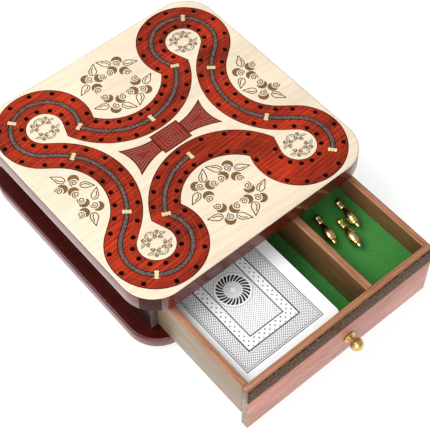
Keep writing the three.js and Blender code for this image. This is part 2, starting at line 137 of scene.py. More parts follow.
class CRIBBAGE_PG_face(bpy.types.PropertyGroup):
    maple_light: colour_setting("Maple, light", "Light grain of the maple veneer", (232, 217, 193))
    maple_dark: colour_setting("Maple, dark", "Dark grain of the maple veneer", (219, 201, 176))
    padauk_light: colour_setting("Padauk, light", "Light grain of the track", (188, 51, 11))
    padauk_dark: colour_setting("Padauk, dark", "Dark grain of the track", (92, 15, 7))
    burnt: colour_setting("Burnt edge", "Scorched edge round each inlay", (52, 22, 12))
    engraving: colour_setting("Engraved line", "Outlines burnt into the maple", (52, 32, 8))
    petal: colour_setting("Engraved petal", "Shaded petals of the flowers", (104, 78, 48))
    line_width: length_setting("Engraved line width", "Width of an engraved line", 0.0005)


class CRIBBAGE_PG_drawer(bpy.types.PropertyGroup):
    wood_light: colour_setting("Drawer wood, light", "Light grain of the drawer's boards", (182, 128, 92))
    wood_dark: colour_setting("Drawer wood, dark", "Dark grain of the drawer's boards", (132, 80, 50))
    facing_light: colour_setting("Facing, light", "Light grain of the front facing", (212, 152, 134))
    facing_dark: colour_setting("Facing, dark", "Dark grain of the front facing", (166, 104, 88))
    felt: colour_setting("Felt", "Felt of both compartments", (40, 126, 36))
    board_round: length_setting("Board round", "Rounding of the drawer boards' edges", 0.00045)


class CRIBBAGE_PG_loose(bpy.types.PropertyGroup):
    brass: colour_setting("Brass", "Brass of the pegs and the knob", (222, 200, 134))
    ink: colour_setting("Ink", "Ink of the card backs", (22, 20, 22))
    card_count: bpy.props.IntProperty(
        name="Cards", description="Number of cards in the pack", default=52, min=2, max=60)


class CRIBBAGE_PG_stage(bpy.types.PropertyGroup):
    room_light: bpy.props.FloatProperty(
        name="Room light", description="Strength of the even light from all round", default=0.45, min=0)
    key_power: bpy.props.FloatProperty(
        name="Key light", description="Power of the large soft light", default=11.0, min=0, unit="POWER")


# ---------------------------------------------------------------- shader groups

def new_group(name, inputs, outputs):
    """An empty node group with its sockets, and its input and output nodes."""
    group = bpy.data.node_groups.new(name, "ShaderNodeTree")
    for direction, sockets in (("INPUT", inputs), ("OUTPUT", outputs)):
        for title, kind in sockets:
            group.interface.new_socket(title, in_out=direction, socket_type=kind)
    return group, group.nodes.new("NodeGroupInput"), group.nodes.new("NodeGroupOutput")


class Field:
    """A number that changes over the surface, worked out by Math nodes."""

    def __init__(self, tree, socket):
        self.tree = tree
        self.socket = socket

    def math(self, operation, *others):
        node = self.tree.nodes.new("ShaderNodeMath")
        node.operation = operation
        for target, value in zip(node.inputs, (self, *others)):
            if isinstance(value, Field):
                self.tree.links.new(value.socket, target)
            else:
                target.default_value = value
        return Field(self.tree, node.outputs[0])

    def __add__(self, other):
        return self.math("ADD", other)

    def __sub__(self, other):
        return self.math("SUBTRACT", other)

    def __mul__(self, other):
        return self.math("MULTIPLY", other)

    def __abs__(self):
        return self.math("ABSOLUTE")

    def between(self, low, high):
        return self.math("GREATER_THAN", low) * self.math("LESS_THAN", high)


COLOUR, NUMBER, VECTOR = "NodeSocketColor", "NodeSocketFloat", "NodeSocketVector"


def stretched(tree, source, amounts):
    node = tree.nodes.new("ShaderNodeVectorMath")
    node.operation = "MULTIPLY"
    tree.links.new(source, node.inputs[0])
    node.inputs[1].default_value = amounts
    return node.outputs[0]


def noise(tree, source, scale, detail=3.0, roughness=0.55):
    node = tree.nodes.new("ShaderNodeTexNoise")
    node.inputs["Detail"].default_value = detail
    node.inputs["Roughness"].default_value = roughness
    if isinstance(scale, (int, float)):
        node.inputs["Scale"].default_value = scale
    else:
        tree.links.new(scale, node.inputs["Scale"])
    tree.links.new(source, node.inputs["Vector"])
    return node.outputs["Fac"]


def span(tree, source, low, high, to_low=0.0, to_high=1.0):
    """Stretches a stretch of values to another, and clamps it."""
    node = tree.nodes.new("ShaderNodeMapRange")
    for title, value in (("From Min", low), ("From Max", high), ("To Min", to_low), ("To Max", to_high)):
        node.inputs[title].default_value = value
    tree.links.new(source, node.inputs["Value"])
    return node.outputs["Result"]


def mixed(tree, factor, first, second):
    """A colour between two; each may be a socket or a plain colour."""
    node = tree.nodes.new("ShaderNodeMix")
    node.data_type = "RGBA"
    for target, value in ((node.inputs[0], factor), (node.inputs[6], first), (node.inputs[7], second)):
        if isinstance(value, bpy.types.NodeSocket):
            tree.links.new(value, target)
        elif isinstance(value, (int, float)):
            target.default_value = value
        else:
            target.default_value = (*value, 1)
    return node.outputs[2]


PORE_COLOUR = (0.03, 0.012, 0.008)


def wood_grain_group():
    """Grain that runs along X: growth bands, fibres, pores and slow changes of tone."""
    group, source, result = new_group(
        "Wood grain",
        [("Vector", VECTOR), ("Light", COLOUR), ("Dark", COLOUR), ("Band Scale", NUMBER),
         ("Fibre Scale", NUMBER), ("Band Share", NUMBER), ("Pores", NUMBER), ("Tone", NUMBER)],
        [("Color", COLOUR), ("Height", NUMBER)])
    place = source.outputs["Vector"]
    bands = group.nodes.new("ShaderNodeTexWave")
    bands.bands_direction = "Y"
    for title, value in (("Distortion", 5.0), ("Detail", 3.0), ("Detail Scale", 1.4)):
        bands.inputs[title].default_value = value
    group.links.new(stretched(group, place, (0.22, 1, 1)), bands.inputs["Vector"])
    group.links.new(source.outputs["Band Scale"], bands.inputs["Scale"])
    fibres = noise(group, stretched(group, place, (0.06, 1, 1)), source.outputs["Fibre Scale"], 5, 0.65)
    fibres = span(group, fibres, 0.32, 0.68)
    share = Field(group, source.outputs["Band Share"])
    grain = Field(group, bands.outputs["Fac"]) * share + Field(group, fibres) * (share * -1 + 1)
    colour = mixed(group, grain.socket, source.outputs["Dark"], source.outputs["Light"])
    tone = noise(group, stretched(group, place, (0.35, 1, 1)), 55.0, 2)
    tone = ((Field(group, tone) - 0.52) * Field(group, source.outputs["Tone"]) + 1.0).socket
    toned = group.nodes.new("ShaderNodeVectorMath")
    toned.operation = "SCALE"
    group.links.new(colour, toned.inputs[0])
    group.links.new(tone, toned.inputs["Scale"])
    pores = noise(group, stretched(group, place, (0.05, 1, 1)), 2600.0, 2, 0.5)
    pores = span(group, pores, 0.6, 0.72)
    depth = Field(group, pores) * Field(group, source.outputs["Pores"])
    coloured = mixed(group, depth.socket, toned.outputs[0], PORE_COLOUR)
    group.links.new(coloured, result.inputs["Color"])
    group.links.new((grain * 0.5 - depth).socket, result.inputs["Height"])
    return group


def speckle_group():
    """Short pale flecks on a dark ground, as in palm wood."""
    group, source, result = new_group(
        "Speckles",
        [("Vector", VECTOR), ("Ground", COLOUR), ("Fleck", COLOUR), ("Scale", NUMBER)],
        [("Color", COLOUR), ("Height", NUMBER)])
    place = stretched(group, source.outputs["Vector"], (0.45, 1, 1))
    flecks = span(group, noise(group, place, source.outputs["Scale"], 3, 0.7), 0.44, 0.6)
    group.links.new(mixed(group, flecks, source.outputs["Ground"], source.outputs["Fleck"]),
                    result.inputs["Color"])
    group.links.new(flecks, result.inputs["Height"])
    return group


def handling_group():
    """Rubbed and dusty patches that make a finish a little duller or brighter."""
    group, source, result = new_group(
        "Handling", [("Vector", VECTOR), ("Middle", NUMBER), ("Spread", NUMBER)], [("Roughness", NUMBER)])
    patches = noise(group, source.outputs["Vector"], 90.0, 6, 0.7)
    change = (Field(group, patches) - 0.5) * Field(group, source.outputs["Spread"])
    total = change + Field(group, source.outputs["Middle"])
    group.links.new(total.socket, result.inputs["Roughness"])
    return group


PRINT_HALF = (25.2, 40.0)
LATTICE_PITCH = 1.6
ROSETTE_RADIUS = 10.2
BLADE_COUNT = 24.0


def card_back_group():
    """Ink of a card back, from millimetres about the card's middle: frames, borders of dots
    and beads, a lattice, and a rosette of curved blades."""
    group, source, result = new_group("Card back", [("Vector", VECTOR)], [("Ink", NUMBER)])
    parts = group.nodes.new("ShaderNodeSeparateXYZ")
    group.links.new(source.outputs["Vector"], parts.inputs[0])
    x, y = (Field(group, parts.outputs[i]) for i in (0, 1))
    radius = (x * x + y * y).math("SQRT")
    angle = y.math("ARCTAN2", x)

    def checks(pitch, level):
        across, along = ((way * (math.tau / pitch)).math("SINE") for way in (x, y))
        return (across * along).math("GREATER_THAN", level)

    def blades(twist, level, low, high):
        turns = angle * BLADE_COUNT + radius * twist
        return turns.math("SINE").math("GREATER_THAN", level) * radius.between(low, high)

    # How far inside the print's edge a place is, as a number below zero
    inside = (abs(x) - PRINT_HALF[0]).math("MAXIMUM", abs(y) - PRINT_HALF[1])
    outer_frame, inner_frame = inside.between(-8.9, -8.2), inside.between(-14.7, -14.1)
    frames = inside.between(-0.5, 0.0) + outer_frame + inner_frame + inside.between(-1.3, -1.0)
    dots = checks(1.3, 0.02) * inside.between(-8.2, -1.3)
    beads = checks(3.5, 0.72) * inside.between(-13.6, -9.3)
    one, other = (abs((way * (math.pi / LATTICE_PITCH)).math("SINE")).math("LESS_THAN", 0.34)
                  for way in (x + y, x - y))
    crossed = one.math("MAXIMUM", other)
    lattice = crossed * inside.math("LESS_THAN", -14.7) + crossed * inside.between(-14.1, -8.9) * 0.35
    ring = radius.between(ROSETTE_RADIUS - 0.4, ROSETTE_RADIUS)
    rosette = blades(1.5, -0.6, 5.0, 8.9) + blades(-0.9, 0.2, 1.4, 5.2) * 0.6 + ring * 0.6
    border = frames.math("MINIMUM", 1.0) + dots * 0.8 + beads * 0.9 + lattice * 0.6
    ink = (border * radius.math("GREATER_THAN", ROSETTE_RADIUS) + rosette).math("MINIMUM", 1.0)
    group.links.new(ink.socket, result.inputs["Ink"])
    return group


# ---------------------------------------------------------------- materials

GROUPS = {}
MATERIALS = {}
LENGTHWISE = (0, 0, 90)


def shared_group(maker):
    if maker not in GROUPS:
        GROUPS[maker] = maker()
    return GROUPS[maker]


def add_group(tree, maker, place, **values):
    node = tree.nodes.new("ShaderNodeGroup")
    node.node_tree = shared_group(maker)
    tree.links.new(place, node.inputs["Vector"])
    for title, value in values.items():
        target = node.inputs[title.replace("_", " ")]
        target.default_value = (*value, 1) if isinstance(value, (tuple, list)) else value
    return node


def surface(name, paint, roughness, bumps, coat=0.0, coat_roughness=0.05, specular=0.5, metallic=0.0,
            sheen=0.0, turn=(0, 0, 0), shift=(0, 0, 0)):
    """A Principled material, made once for each name. Paint gives its colour and its height over
    the object, roughness is a middle and a spread, and bumps are a strength and a distance."""
    if name in MATERIALS:
        return MATERIALS[name]
    material = MATERIALS[name] = bpy.data.materials.new(name)
    material.use_nodes = True
    tree = material.node_tree
    coordinates = tree.nodes.new("ShaderNodeTexCoord")
    mapping = tree.nodes.new("ShaderNodeMapping")
    mapping.inputs["Rotation"].default_value = [math.radians(angle) for angle in turn]
    mapping.inputs["Location"].default_value = shift
    tree.links.new(coordinates.outputs["Object"], mapping.inputs["Vector"])
    place = mapping.outputs[0]
    colour, height = paint(tree, place)
    handling = add_group(tree, handling_group, place, Middle=roughness[0], Spread=roughness[1])
    bump = tree.nodes.new("ShaderNodeBump")
    bump.inputs["Strength"].default_value, bump.inputs["Distance"].default_value = bumps
    tree.links.new(height, bump.inputs["Height"])
    shader = tree.nodes["Principled BSDF"]
    for title, value in (("Coat Weight", coat), ("Coat Roughness", coat_roughness), ("Metallic", metallic),
                         ("Specular IOR Level", specular), ("Sheen Weight", sheen)):
        shader.inputs[title].default_value = value
    for title, result in (("Base Color", colour), ("Roughness", handling.outputs["Roughness"]),
                          ("Normal", bump.outputs["Normal"])):
        tree.links.new(result, shader.inputs[title])
    return material


def wood(name, light, dark, bands, fibres, share, pores, rough, relief=0.00004, tone=0.6, **finish):
    """Grained wood. Bands and fibres say how fine each is, and share how much the bands count."""
    def paint(tree, place):
        grain = add_group(tree, wood_grain_group, place, Light=tuple(light), Dark=tuple(dark),
                          Band_Scale=bands, Fibre_Scale=fibres, Band_Share=share, Pores=pores, Tone=tone)
        return grain.outputs["Color"], grain.outputs["Height"]
    return surface(name, paint, (rough, 0.18), (0.5, relief), **finish)


def speckled(name, ground, fleck, scale, rough, **finish):
    def paint(tree, place):
        flecks = add_group(tree, speckle_group, place, Ground=ground, Fleck=fleck, Scale=scale)
        return flecks.outputs["Color"], flecks.outputs["Height"]
    return surface(name, paint, (rough, 0.2), (0.4, 0.00004), **finish)


def scorched(name, colour):
    """Wood burnt by the cutter: a dark, uneven brown."""
    def paint(tree, place):
        char = span(tree, noise(tree, place, 700.0, 4), 0.3, 0.7)
        paler = tuple(min(1.0, part * 1.5 + 0.004) for part in colour)
        return mixed(tree, char, tuple(colour), paler), char
    return surface(name, paint, (0.55, 0.2), (0.3, 0.00003), specular=0.1)


def brass(name, rough):
    colour = bpy.context.scene.cribbage_loose.brass

    def paint(tree, place):
        tarnish = span(tree, noise(tree, place, 420.0, 5, 0.7), 0.35, 0.75)
        darker = tuple(part * shade for part, shade in zip(colour, (0.8, 0.72, 0.55)))
        return mixed(tree, tarnish, tuple(colour), darker), noise(tree, place, 3000.0, 2)
    return surface(name, paint, (rough, 0.16), (0.12, 0.00002), metallic=1.0)


def felt_cloth(colour):
    def paint(tree, place):
        nap = noise(tree, place, 1500.0, 6, 0.85)
        patches = span(tree, noise(tree, place, 120.0, 4), 0.3, 0.7, 0.0, 0.3)
        dark = tuple(part * 0.3 for part in colour)
        pale = tuple(min(1.0, part * 1.75) for part in colour)
        fibres = mixed(tree, span(tree, nap, 0.38, 0.62), dark, pale)
        return mixed(tree, patches, fibres, tuple(colour)), nap
    return surface("Green felt", paint, (0.93, 0.1), (0.9, 0.0004), sheen=0.35)


def card_stock():
    """Plain card, with the layers of the pack showing at its sides."""
    def paint(tree, place):
        fibres = span(tree, noise(tree, place, 900.0, 4), 0.35, 0.65)
        layers = noise(tree, stretched(tree, place, (0.05, 0.05, 1)), 5200.0, 1)
        tone = mixed(tree, fibres, linear(236, 236, 234), linear(247, 247, 246))
        return mixed(tree, span(tree, layers, 0.45, 0.7, 0, 0.25), tone, linear(190, 190, 188)), fibres
    return surface("Card stock", paint, (0.5, 0.12), (0.15, 0.00003), 0.2, 0.25)


def printed_card(ink, middle):
    """Card with the back's pattern printed about a middle, which is given in metres."""
    def paint(tree, place):
        pattern = add_group(tree, card_back_group, stretched(tree, place, (1 / MM, 1 / MM, 1 / MM)))
        grain = span(tree, noise(tree, place, 1500.0, 3), 0.3, 0.7)
        paper = mixed(tree, grain, linear(240, 240, 240), linear(250, 250, 250))
        return mixed(tree, pattern.outputs["Ink"], paper, tuple(ink)), grain
    return surface("Printed card back", paint, (0.42, 0.1), (0.15, 0.00002), 0.25, 0.2,
                   shift=tuple(-part for part in middle))


def rubber():
    def paint(tree, place):
        grain = noise(tree, place, 1800.0, 4)
        return mixed(tree, grain, linear(30, 28, 27), linear(58, 55, 52)), grain
    return surface("Black rubber", paint, (0.8, 0.15), (0.4, 0.00008))


# A shade below one darkens the lacquer, as painted shade on faces that the light misses.
def lacquered(name="Lacquered mahogany", shade=1.0, coat=0.6, specular=0.2, turn=(0, 0, 0)):
    case = bpy.context.scene.cribbage_case
    light, dark = ([part * shade for part in colour] for colour in (case.lacquer_light, case.lacquer_dark))
    return wood(name, light, dark, 140.0, 1000.0, 0.22, 0.5, 0.3, coat=coat, coat_roughness=0.16,
                specular=specular, turn=turn)


def drawer_wood(name="Drawer wood", turn=LENGTHWISE, light=None, dark=None):
    drawer = bpy.context.scene.cribbage_drawer
    return wood(name, light or drawer.wood_light, dark or drawer.wood_dark, 120.0, 1000.0, 0.35, 0.55, 0.42,
                coat=0.25, coat_roughness=0.25, turn=turn)


def maple_veneer(face):
    return wood("Maple veneer", face.maple_light, face.maple_dark, 60.0, 800.0, 0.25, 0.05, 0.34,
                0.00001, 0.3, coat=0.12, coat_roughness=0.15, specular=0.2, turn=(0, 0, 4))


def padauk_veneer(name, light, dark, pores, tone, coat, specular):
    return wood(name, light, dark, 130.0, 700.0, 0.3, pores, 0.3, 0.00005, tone,
                coat=coat, coat_roughness=0.1, specular=specular, turn=(0, 0, -3))


# ---------------------------------------------------------------- mesh helpers

def finish_piece(name, bm, materials, body, slot, stands_for=(), cuts=(), paint=None):
    """Turns a bmesh in millimetres into a piece that rides on a body and stands for CAD nodes."""
    if not bm.faces:
        raise RuntimeError(f"{name} has no faces")
    bmesh.ops.remove_doubles(bm, verts=bm.verts, dist=WELD)
    bmesh.ops.recalc_face_normals(bm, faces=bm.faces)
    piece = new_object(name, bm)
    for cutter in cuts:
        cut_with(piece, cutter)
    mesh = piece.data
    mesh.materials.clear()
    for material in materials:
        mesh.materials.append(material)
    if paint:
        for face in mesh.polygons:
            face.material_index = paint(face.center / MM, face.normal)
    mesh.polygons.foreach_set("use_smooth", [True] * len(mesh.polygons))
    mesh.set_sharp_from_angle(angle=SMOOTH_ANGLE)
    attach(piece, body)
    if stands_for:
        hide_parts(*stands_for)
    return piece


def new_object(name, bm):
    bmesh.ops.scale(bm, vec=(MM, MM, MM), verts=bm.verts)
    mesh = bpy.data.meshes.new(name)
    bm.to_mesh(mesh)
    bm.free()
    piece = bpy.data.objects.new(name, mesh)
    bpy.context.scene.collection.objects.link(piece)
    return piece


def cut_with(piece, cutter_bm):
    """Takes the cutter's volume out of the piece for good."""
    bmesh.ops.recalc_face_normals(cutter_bm, faces=cutter_bm.faces)
    cutter = new_object("cutter", cutter_bm)
    modifier = piece.modifiers.new("Cut", "BOOLEAN")
    modifier.operation = "DIFFERENCE"
    modifier.solver = "EXACT"
    modifier.object = cutter
    bpy.context.view_layer.update()
    whole = piece.evaluated_get(bpy.context.evaluated_depsgraph_get())
    result = bpy.data.meshes.new_from_object(whole)
    piece.modifiers.clear()
    old = piece.data
    piece.data = result
    bpy.data.meshes.remove(old)
    old = cutter.data
    bpy.data.objects.remove(cutter)
    bpy.data.meshes.remove(old)


def bevel(bm, edges, offset, segments, clamp=False):
    bmesh.ops.bevel(bm, geom=edges, offset=offset, segments=segments, profile=0.5, affect="EDGES",
                    material=-1, clamp_overlap=clamp)


def bevel_uprights(bm, radius, segments):
    """Rounds the four upright corners of a block."""
    uprights = [e for e in bm.edges if abs(e.verts[0].co.z - e.verts[1].co.z) > 1e-3]
    bevel(bm, uprights, radius, segments)


def block(low, high, rounding=0.0):
    """A board between two corners with rounded edges."""
    bm = bmesh.new()
    bmesh.ops.create_cube(bm, size=1)
    bmesh.ops.scale(bm, vec=high - low, verts=bm.verts)
    bmesh.ops.translate(bm, vec=(low + high) / 2, verts=bm.verts)
    if rounding:
        bevel(bm, bm.edges[:], rounding, 3)
    return bm


def round_rims(bm, rounding, segments, top_only=False):
    """Rounds the edges between the flat top and bottom and the sides."""
    rims = []
    for edge in bm.edges:
        flat = [face for face in edge.link_faces if abs(face.normal.z) > 0.99]
        if len(edge.link_faces) == 2 and len(flat) == 1 and (flat[0].normal.z > 0 or not top_only):
            rims.append(edge)
    bevel(bm, rims, rounding, segments, True)


def rounded_slab(half, radius, z0, z1, rounding=0.0):
    """A square slab with round corners, standing on its own middle."""
    bm = block(Vector((-half, -half, z0)), Vector((half, half, z1)))
    bevel_uprights(bm, radius, 16)
    bm.normal_update()
    if rounding:
        round_rims(bm, rounding, 4)
    return bm


def add_outline(bm, points, z):
    verts = [bm.verts.new((point[0], point[1], z)) for point in points]
    return [bm.edges.new((verts[i - 1], verts[i])) for i in range(len(verts))]


def thicken(bm, drop):
    """Makes a solid of a flat sheet, with a copy of it moved by drop along Z."""
    grown = bmesh.ops.extrude_face_region(bm, geom=bm.faces[:])
    lower = [item for item in grown["geom"] if isinstance(item, bmesh.types.BMVert)]
    bmesh.ops.translate(bm, vec=(0, 0, drop), verts=lower)
    bmesh.ops.recalc_face_normals(bm, faces=bm.faces)


def plate(outlines, z0, z1, rounding=0.0):
    """A flat sheet: its first outline is its edge, and the others are openings in it."""
    bm = bmesh.new()
    edges = [edge for outline in outlines for edge in add_outline(bm, outline, z1)]
    bmesh.ops.triangle_fill(bm, use_beauty=True, use_dissolve=False, edges=edges, normal=(0, 0, 1))
    thicken(bm, z0 - z1)
    bm.normal_update()
    if rounding:
        round_rims(bm, rounding, 1, top_only=True)
    return bm


def merge(parts):
    """Several bmeshes as one."""
    whole = bmesh.new()
    for part in parts:
        mesh = bpy.data.meshes.new("part")
        part.to_mesh(mesh)
        part.free()
        whole.from_mesh(mesh)
        bpy.data.meshes.remove(mesh)
    return whole


def spun(profile, segments, place):
    """A turned piece, from radius and height pairs about Z, moved to its place."""
    bm = bmesh.new()
    verts = [bm.verts.new((radius, 0, height)) for radius, height in profile]
    edges = [bm.edges.new(pair) for pair in zip(verts, verts[1:])]
    bmesh.ops.spin(bm, geom=verts + edges, cent=(0, 0, 0), axis=(0, 0, 1), angle=math.tau,
                   steps=segments, use_merge=True)
    bmesh.ops.remove_doubles(bm, verts=bm.verts, dist=1e-4)
    bmesh.ops.recalc_face_normals(bm, faces=bm.faces)
    bmesh.ops.transform(bm, matrix=place, verts=bm.verts)
    return bm


def smooth_curve(points, steps):
    """A smooth line through a few points."""
    points = [Vector(point) for point in points]
    padded = [points[0] * 2 - points[1], *points, points[-1] * 2 - points[-2]]
    line = []
    for before, start, end, after in zip(padded, padded[1:], padded[2:], padded[3:]):
        for i in range(steps):
            t = i / steps
            line.append(0.5 * (2 * start + (end - before) * t
                               + (2 * before - 5 * start + 4 * end - after) * t ** 2
                               + (3 * start - before - 3 * end + after) * t ** 3))
    return [*line, points[-1]]


# ---------------------------------------------------------------- track lines

def polar(centre, radius, angle):
    return centre + Vector((math.cos(angle), math.sin(angle))) * radius


def angle_of(point, centre):
    return math.atan2(point.y - centre.y, point.x - centre.x)


def arc(centre, radius, start, end, step=math.radians(4)):
    count = max(2, math.ceil(abs(end - start) / step))
    return [polar(centre, radius, start + (end - start) * i / count) for i in range(count + 1)]


def lower_crossing(c1, r1, c2, r2):
    """Where two circles cross, the lower of the two points."""
    apart = (c2 - c1).length
    along = (r1 * r1 - r2 * r2 + apart * apart) / (2 * apart)
    aside = math.sqrt(r1 * r1 - along * along)
    axis = (c2 - c1).normalized()
    normal = Vector((-axis.y, axis.x))
    return min((c1 + axis * along + normal * side * aside for side in (1, -1)), key=lambda p: p.y)


LINK_ANGLE = (angle_of(SIDE_ARM, LOBE)
              - math.acos((LOBE_RADIUS + ARM_RADIUS) / (LOBE - SIDE_ARM).length))
CROSSING = lower_crossing(LONG_ARM, ARM_RADIUS, LOBE, LOBE_RADIUS)
ARM_LENGTH = ARM_RADIUS * abs(angle_of(CROSSING, LONG_ARM) + math.pi / 2)
LOBE_START = angle_of(CROSSING, LOBE)
LOBE_LENGTH = LOBE_RADIUS * (LINK_ANGLE + math.tau - LOBE_START)
LINK_START = polar(LOBE, LOBE_RADIUS, LINK_ANGLE)
LINK_END = polar(SIDE_ARM, ARM_RADIUS, LINK_ANGLE + math.pi)
LINK_LENGTH = (LINK_START - LINK_END).length
SIDE_TURN = LINK_ANGLE + math.pi
QUARTER_LENGTH = ARM_LENGTH + LOBE_LENGTH + LINK_LENGTH + ARM_RADIUS * SIDE_TURN
LOBE_MARKER = ARM_LENGTH + 0.616 * LOBE_LENGTH
SIDE_MARKER = QUARTER_LENGTH - 24.8
START_ROW = (4.1, 37.2)
OUTER_ROW_GAPS = (3.4, 4.8)


def quarter_line(offset, first_angle=None):
    """The back-left quarter of the loop, offset millimetres outwards. With first_angle it starts
    on the lobe at that angle instead of at the middle of the long arm."""
    arm_radius, lobe_radius = ARM_RADIUS - offset, LOBE_RADIUS + offset
    if offset < -SCORE_OFFSET - 1:
        corner = polar(LONG_ARM, arm_radius, NECK_ANGLE)
        reach = math.acos(min(1.0, lobe_radius / (corner - LOBE).length))
    else:
        corner = lower_crossing(LONG_ARM, arm_radius, LOBE, lobe_radius)
        reach = 0.0
    line = []
    if first_angle is None:
        first_angle = angle_of(corner, LOBE) + reach
        line = arc(LONG_ARM, arm_radius, -math.pi / 2, angle_of(corner, LONG_ARM))
    line += arc(LOBE, lobe_radius, first_angle, LINK_ANGLE + math.tau)
    line += arc(SIDE_ARM, arm_radius, SIDE_TURN, 0)
    return without_repeats(line)


def without_repeats(line):
    kept = line[:1]
    for point in line[1:]:
        if (point - kept[-1]).length > 1e-3:
            kept.append(point)
    return kept


def mirrored(line, sign_x, sign_y, about=Vector((0, 0))):
    return [Vector((about.x + (p.x - about.x) * sign_x, about.y + (p.y - about.y) * sign_y)) for p in line]


def loop_line(offset):
    """The whole loop, closed."""
    quarter = quarter_line(offset)
    whole = (quarter + mirrored(quarter, 1, -1)[::-1] + mirrored(quarter, -1, -1)
             + mirrored(quarter, -1, 1)[::-1])
    return without_repeats(whole)[:-1]


def stripe_line(offset):
    """From the front middle, round by the left and the back, to the front-right lobe's marker."""
    stop = LOBE_START + (LOBE_MARKER - ARM_LENGTH) / LOBE_RADIUS
    quarter = quarter_line(offset)
    tail = mirrored(quarter_line(offset, stop), -1, -1)[::-1]
    whole = (mirrored(quarter, 1, -1) + quarter[::-1] + mirrored(quarter, -1, 1) + tail)
    return without_repeats(whole)


def place_on_track(distance, offset):
    """A point on the back-left quarter and the direction across the ribbon there."""
    if distance <= ARM_LENGTH:
        angle = -math.pi / 2 - distance / ARM_RADIUS
        return polar(LONG_ARM, ARM_RADIUS - offset, angle), angle
    round_lobe = distance - ARM_LENGTH
    if round_lobe <= LOBE_LENGTH:
        angle = LOBE_START + round_lobe / LOBE_RADIUS
        return polar(LOBE, LOBE_RADIUS + offset, angle), angle
    on_link = round_lobe - LOBE_LENGTH
    if on_link <= LINK_LENGTH:
        base = LINK_START.lerp(LINK_END, on_link / LINK_LENGTH)
        return base + polar(Vector((0, 0)), offset, LINK_ANGLE), LINK_ANGLE
    angle = SIDE_TURN - (on_link - LINK_LENGTH) / ARM_RADIUS
    return polar(SIDE_ARM, ARM_RADIUS - offset, angle), angle


def spread(start, end, count, lead):
    """Even steps along a stretch; lead is the share of a step before the first."""
    step = (end - start) / count
    return [start + (i + lead) * step for i in range(count)]


def row_distances(outer, starting):
    """How far along a quarter each hole of a row is; the quarter where play starts has its own."""
    before, after = OUTER_ROW_GAPS if outer else (0, 0)
    arm_end, lobe_start = ARM_LENGTH - before, ARM_LENGTH + after
    arm = spread(*START_ROW, 3, 0.5) if starting else spread(0, arm_end, 5, 0.4)
    return (arm + spread(lobe_start, LOBE_MARKER, 6 if starting else 5, 0.2 if outer else 0.35)
            + spread(LOBE_MARKER, SIDE_MARKER, 5, 0.5)
            + spread(SIDE_MARKER, 2 * QUARTER_LENGTH - SIDE_MARKER, 5, 0.5)[:2])


def hole_centres():
    centres = []
    for sign_x, sign_y in QUARTERS:
        starting = sign_x < 0 and sign_y < 0
        for outer, offset in ((True, HOLE_ROW_OFFSET), (False, -HOLE_ROW_OFFSET)):
            row = [place_on_track(d, offset)[0] for d in row_distances(outer, starting)]
            centres += mirrored(row, sign_x, sign_y)
    for side in (1, -1):
        for offset in (HOLE_ROW_OFFSET, -HOLE_ROW_OFFSET):
            centres.append(Vector((side * place_on_track(QUARTER_LENGTH, offset)[0].x, 0)))
    return centres


def marker_spots():
    """Where each marker lies, and how far it is turned to lie across the ribbon."""
    spots = []
    for sign_x, sign_y in QUARTERS:
        starting = sign_x < 0 and sign_y < 0
        for distance in (ARM_LENGTH, LOBE_MARKER, SIDE_MARKER)[starting:]:
            at, across = place_on_track(distance, 0)
            turn = math.atan2(math.sin(across) * sign_y, math.cos(across) * sign_x)
            spots.append((mirrored([at], sign_x, sign_y)[0], turn))
    middle = place_on_track(0, 0)[0].y
    return spots + [(Vector((0, middle)), math.pi / 2), (Vector((0, -middle)), math.pi / 2)]


MARKER_SIZES = (2.5, 1.45, 0.95)


def marker_outline(at, turn, grow=0.0):
    """A short bar of three beads, set across the ribbon."""
    long, wide, waist = (size + grow for size in MARKER_SIZES)
    half = smooth_curve([(-long, -wide * 0.45), (-long * 0.72, -wide), (-long * 0.36, -waist),
                         (0, -wide * 0.9), (long * 0.36, -waist), (long * 0.72, -wide),
                         (long, -wide * 0.45)], 3)
    spin = Matrix.Rotation(turn, 2)
    return [at + spin @ point for point in half + [-point for point in half]]


# ---------------------------------------------------------------- engraved lines

def stroke(line, width, z0, z1, closed=False):
    """An engraved line of even width along a path, as a thin bar."""
    count = len(line)
    bm = bmesh.new()
    rows = []
    for i, point in enumerate(line):
        before = line[i - 1] if i or closed else point
        after = line[(i + 1) % count] if i < count - 1 or closed else point
        way = (after - before).normalized()
        side = Vector((-way.y, way.x)) * (width / 2)
        rows.append([bm.verts.new((*(point + side), z1)), bm.verts.new((*(point - side), z1))])
    if closed:
        rows.append(rows[0])
    for (a, b), (c, d) in zip(rows, rows[1:]):
        bm.faces.new((a, b, d, c))
    thicken(bm, z0 - z1)
    return bm


# Shares of a leaf's length, along it and to one side
LEAF_EDGE = ((0.02, 0.1), (0.14, 0.2), (0.36, 0.25), (0.62, 0.16), (0.82, 0.07), (1, 0))
LEAF_RIB = ((0.1, -0.02), (0.32, 0.09), (0.66, 0.03))


def leaf_parts(base, tip):
    """A leaf with a round base and a drawn-out point: its outline and a curved rib."""
    base, along = Vector(base), Vector(tip) - Vector(base)
    side = Vector((-along.y, along.x))
    edge = smooth_curve([base + along * t + side * w for t, w in LEAF_EDGE], 4)
    other = smooth_curve([base + along * t - side * w for t, w in LEAF_EDGE[::-1]], 4)
    rib = smooth_curve([base + along * t + side * w for t, w in LEAF_RIB], 4)
    return [(edge + other[1:], True), (rib, False)], []


def rose_parts(centre, radius, facing):
    """A rose: a rounded back of shaded petals, and a spiral heart that opens to one side."""
    centre = Vector(centre)
    heart = polar(centre, radius * 0.72, facing)
    spiral = [polar(heart, radius * (0.12 + 0.58 * i / 30), facing + 2.4 + math.tau * 1.55 * i / 30)
              for i in range(31)]
    step = math.radians(14)
    back = arc(centre, radius, facing + 1.2, facing + math.tau - 1.2, step) + arc(
        heart, radius * 0.86, facing + math.tau - 2, facing + 2, step)
    return [(spiral, False)], [back]


